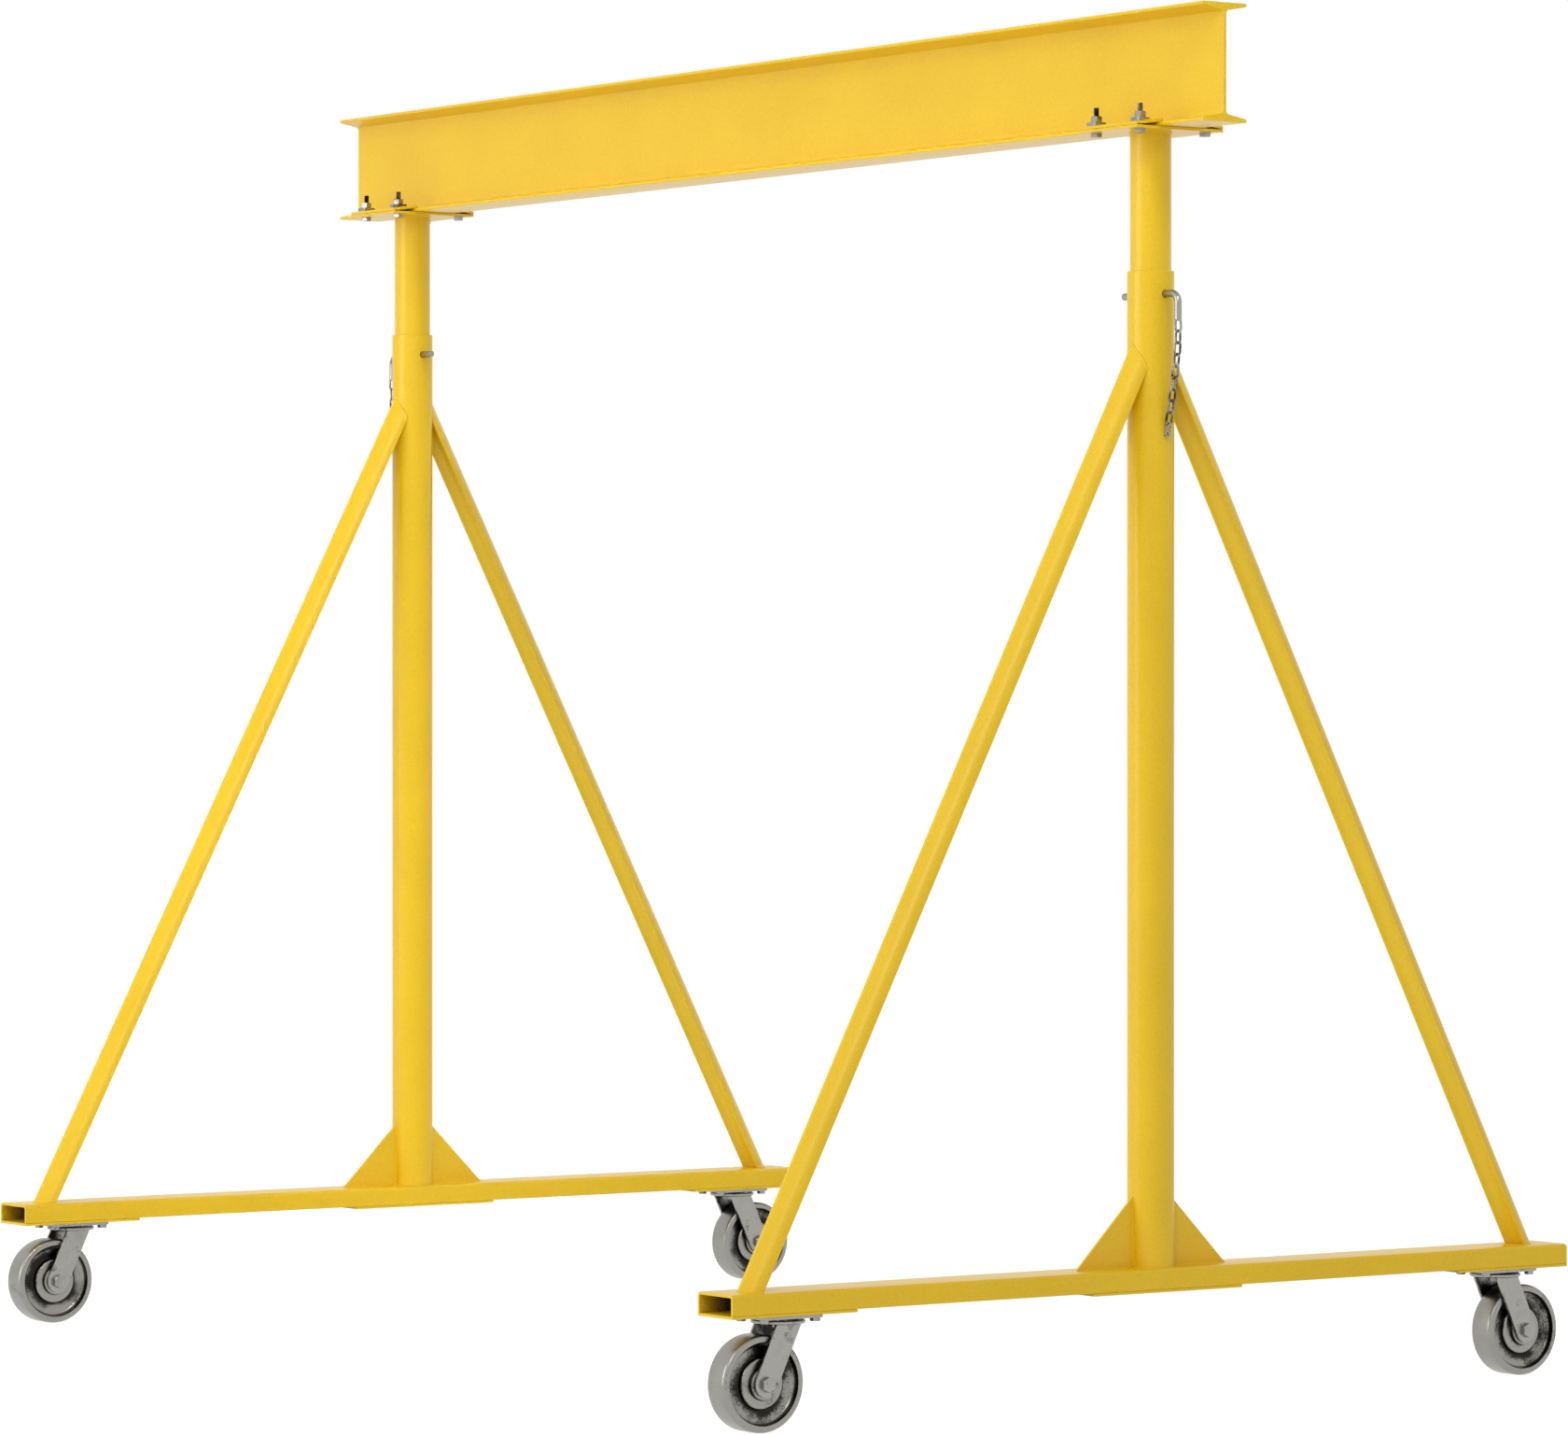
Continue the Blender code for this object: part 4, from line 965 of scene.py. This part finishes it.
PLATE_THICK = 0.25 * 0.0254
PLATE_CORNER = 0.006
BOLT_PLACES = [(x, y) for x in (-0.04286, 0.04286) for y in (-0.0635, 0.0635)]
BOLT_FLATS = 0.75 * 0.0254
BOLT_HEAD = 0.0080
RACE_OUTER = 2.25 * 0.0254
KINGPIN_RADIUS = 0.0100
KINGPIN_FLATS = 0.0260
CROWN_THICK = 0.0075
FORK_THICK = 0.0080
FORK_END = 0.0280
FORK_TOP = 0.0620
AXLE_RADIUS = 0.375 * 0.0254
AXLE_FLATS = 1.125 * 0.0254
AXLE_HEAD = 0.0095
BOSS = 0.0020
PRESSED_EDGE = 0.0008
CUT_EDGE = 0.0012
WHEEL_COLOURS = (0.25, 0.245, 0.222, 1.0), (0.37, 0.363, 0.335, 1.0)

TURNED = steel_with_painted_shade("turned_steel", WHEEL_COLOURS, 16.0, 520.0, 0.30)


def turned_about_z(profile, steps=96):
    """Rings of a profile of (radius, height) points, each turned once round the z axis."""
    angle = 2 * np.pi * np.arange(steps) / steps
    radius, height = profile[:, 0], profile[:, 1]
    return np.stack([radius[:, None] * np.cos(angle), radius[:, None] * np.sin(angle),
                     np.repeat(height[:, None], steps, 1)], axis=-1)


def lying_on_x(rings):
    """The same rings with their axis along x instead of z."""
    return rings[..., [2, 0, 1]]


def wheel_profile(half, radius):
    """The wheel's section from its axle out, over the tread and back: radius, place, painted shade.

    Flat boss, hub disc with a rounded shoulder, dish that curves up into the rim's ring, and a
    tread with rounded shoulders. A curve's points are its centre plus its radius (cos, sin).
    The painted shade is heaviest in the grooves at the hub disc's foot and inside the rim's
    ring, and middling over the dish.
    """
    shoulder = 0.0080
    disc = bend((0.0470, half - 0.0140), 0.0080, 90, 0, 8)
    dish = bend((0.0750, half - 0.0050), 0.0110, 270, 360, 8)
    tread = bend((radius - shoulder, half - shoulder), shoulder, 90, 0, 6)
    lines = [([(AXLE_RADIUS + 0.0004, half + BOSS), (0.0315, half + BOSS),
               (0.0326, half + 0.0015), (0.0330, half + 0.0004)], (0.2, 0.1, 0.1, 0.3)),
             ([(0.0330, half - 0.0048), (0.0336, half - 0.0060), (0.0356, half - 0.0060)],
              (0.7, 0.8, 0.2)),
             (disc, (0.05, 0.05, 0.1, 0.25, 0.5, 0.75, 0.9, 1.0, 1.0)),
             ([(0.0553, half - 0.0152), (0.0575, half - 0.0160), (0.0600, half - 0.0160)],
              (1.0, 1.0, 0.7)),
             (dish, (0.35, 0.35, 0.4, 0.4, 0.35, 0.3, 0.35, 0.6, 0.8)),
             ([(0.0860, half - 0.0016), (0.0866, half - 0.0004), (0.0876, half)], (1.0, 0.8, 0.1)),
             (tread, (0.0, 0.1, 0.1, 0.0, 0.0, 0.0, 0.0))]
    face = np.concatenate([np.column_stack([line, corner]) for line, corner in lines])
    return np.concatenate([face, face[::-1] * (1, -1, 1)])


def fork_leg(top, axle_y, axle_z):
    """Outline of a fork leg: its flat top, two straight sides and a round end on the axle.

    Each side touches the end's circle: at the corner's bearing from the axle, give or take the
    angle whose cosine is the end's radius over the corner's distance.
    """
    corners = np.array([(FORK_TOP / 2, top), (-FORK_TOP / 2, top)])
    reach = corners - (axle_y, axle_z)
    bearing = np.degrees(np.arctan2(reach[:, 1], reach[:, 0]))
    spread = np.degrees(np.arccos(FORK_END / np.linalg.norm(reach, axis=1)))
    round_end = bend((axle_y, axle_z), FORK_END, bearing[0] - spread[0],
                     bearing[1] + spread[1] - 360, 24)
    return np.concatenate([corners[:1], round_end, corners[1:]])


for side in ("left", "right"):
    for end, way in (("front", 1), ("rear", -1)):
        name = f"{side}_{end}_caster"
        leg_body, fork_body, wheel_body = side + "_leg", name + "_fork", name + "_wheel"
        plate_low, plate_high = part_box(name + "_plate")
        crown_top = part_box(name + "_fork")[1].z
        wheel_low, wheel_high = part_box(name + "_wheel")
        axle_low, axle_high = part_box(name + "_axle")
        pivot = np.array([(plate_low.x + plate_high.x) / 2, (plate_low.y + plate_high.y) / 2, 0])
        hub = np.array([pivot[0], (wheel_low.y + wheel_high.y) / 2,
                        (wheel_low.z + wheel_high.z) / 2])

        pad_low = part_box(name.replace("caster", "caster_pad"))[0].z
        plate_top, plate_foot = pad_low - TOUCH, pad_low - TOUCH - PLATE_THICK
        outline = rounded_rectangle((plate_high.x - plate_low.x) / 2,
                                    (plate_high.y - plate_low.y) / 2, PLATE_CORNER, 6)
        finished(name + "_top_plate",
                 shell_of([between(outline, plate_foot, plate_top) + pivot]), ZINC,
                 leg_body, [name + "_plate"], bevel=PRESSED_EDGE)

        crown_foot = crown_top - CROWN_THICK
        race = np.array([(0.012, plate_foot + 0.0005), (0.0540, plate_foot + 0.0005),
                         (0.0542, plate_foot - 0.0005), (0.0536, crown_top + 0.0012),
                         (0.0520, crown_top + 0.0004), (0.012, crown_top + 0.0004)])
        kingpin = np.array([(KINGPIN_RADIUS, crown_top + 0.001),
                            (KINGPIN_RADIUS, plate_low.z + 0.004)])
        stacks = [turned_about_z(race), turned_about_z(kingpin, 32),
                  hexagon_head(KINGPIN_FLATS, plate_low.z, plate_low.z + 0.0100)]
        # Painted shade: most on the race between plate and crown, less on the kingpin and its nut,
        # a little on each bolt.
        corners = [0.6, 0.4, 0.3]
        bolt = (hexagon_head(BOLT_FLATS, plate_foot - BOLT_HEAD, plate_foot, rounded=(True, False)),
                hexagon_head(BOLT_FLATS, plate_high.z - 0.015, plate_high.z - 0.004),
                threaded_end(BOLT_RADIUS, plate_high.z - 0.008, plate_high.z, THREAD_PITCH))
        # The bolts of the two rows are tightened to different angles.
        for x, y in BOLT_PLACES:
            stacks += [moved(part, turn=20 + 400 * x, shift=(x, y, 0)) for part in bolt]
            corners += [0.15, 0.15, 0.3]
        mesh = with_painted_shade(shell_of([part + pivot for part in stacks]), stacks, corners)
        finished(name + "_race_and_bolts", mesh, ZINC, leg_body)

        crown = np.array([(0.0108, crown_foot), (0.0530, crown_foot),
                          (RACE_OUTER - 0.001, crown_foot + 0.001),
                          (RACE_OUTER, crown_foot + 0.002), (RACE_OUTER, crown_top - 0.0015),
                          (RACE_OUTER - 0.0015, crown_top), (0.0108, crown_top)])
        leg_top = crown_foot + 0.003
        outline = fork_leg(leg_top, -abs(hub[1] - pivot[1]), hub[2]) * (way, 1)
        reach = (axle_high.x - axle_low.x) / 2
        outer = reach - AXLE_HEAD - TOUCH
        legs = [between(outline, low, low + FORK_THICK, (1, 2), 0)
                for low in (outer - FORK_THICK, -outer)]
        ring = turned_about_z(crown) + pivot
        # Painted shade on the crown: heaviest on its underside, some on its rim and top, none on
        # its side.
        mesh = with_painted_shade(shell_of([ring], closed_ends=False), [ring],
                      [(0.9, 0.9, 0.6, 0.0, 0.0, 0.2, 0.5)])
        finished(name + "_crown", mesh, ZINC, fork_body, [name + "_fork"])
        # Painted shade on the fork legs: heavy on their inner faces beside the wheel, light on
        # their outer faces.
        mesh = with_painted_shade(shell_of([leg + pivot for leg in legs]), legs, [(0.55, 0.05), (0.05, 0.55)])
        finished(name + "_fork_legs", mesh, ZINC, fork_body, bevel=CUT_EDGE)

        axle = [turned_about_z(np.array([(AXLE_RADIUS, -reach + 0.004),
                                         (AXLE_RADIUS, reach - 0.004)]), 32),
                hexagon_head(AXLE_FLATS, -reach, -reach + AXLE_HEAD, rounded=(True, False)),
                hexagon_head(AXLE_FLATS, reach - AXLE_HEAD, reach, rounded=(False, True))]
        finished(name + "_axle_bolt", shell_of([lying_on_x(part) + hub for part in axle]), ZINC,
                 fork_body, [name + "_axle"])

        half = (wheel_high.x - wheel_low.x) / 2 - BOSS
        radius = (wheel_high.z - wheel_low.z) / 2
        profile = wheel_profile(half, radius)
        profile = np.concatenate([profile, profile[:1]])
        rings = lying_on_x(turned_about_z(profile)) + hub
        # The profile's third column is the painted shade on each ring.
        mesh = with_painted_shade(shell_of([rings], closed_ends=False), [rings], [profile[:, 2]])
        finished(name + "_turned_wheel", mesh, TURNED, wheel_body,
                 [name + "_wheel"], sharp=28)
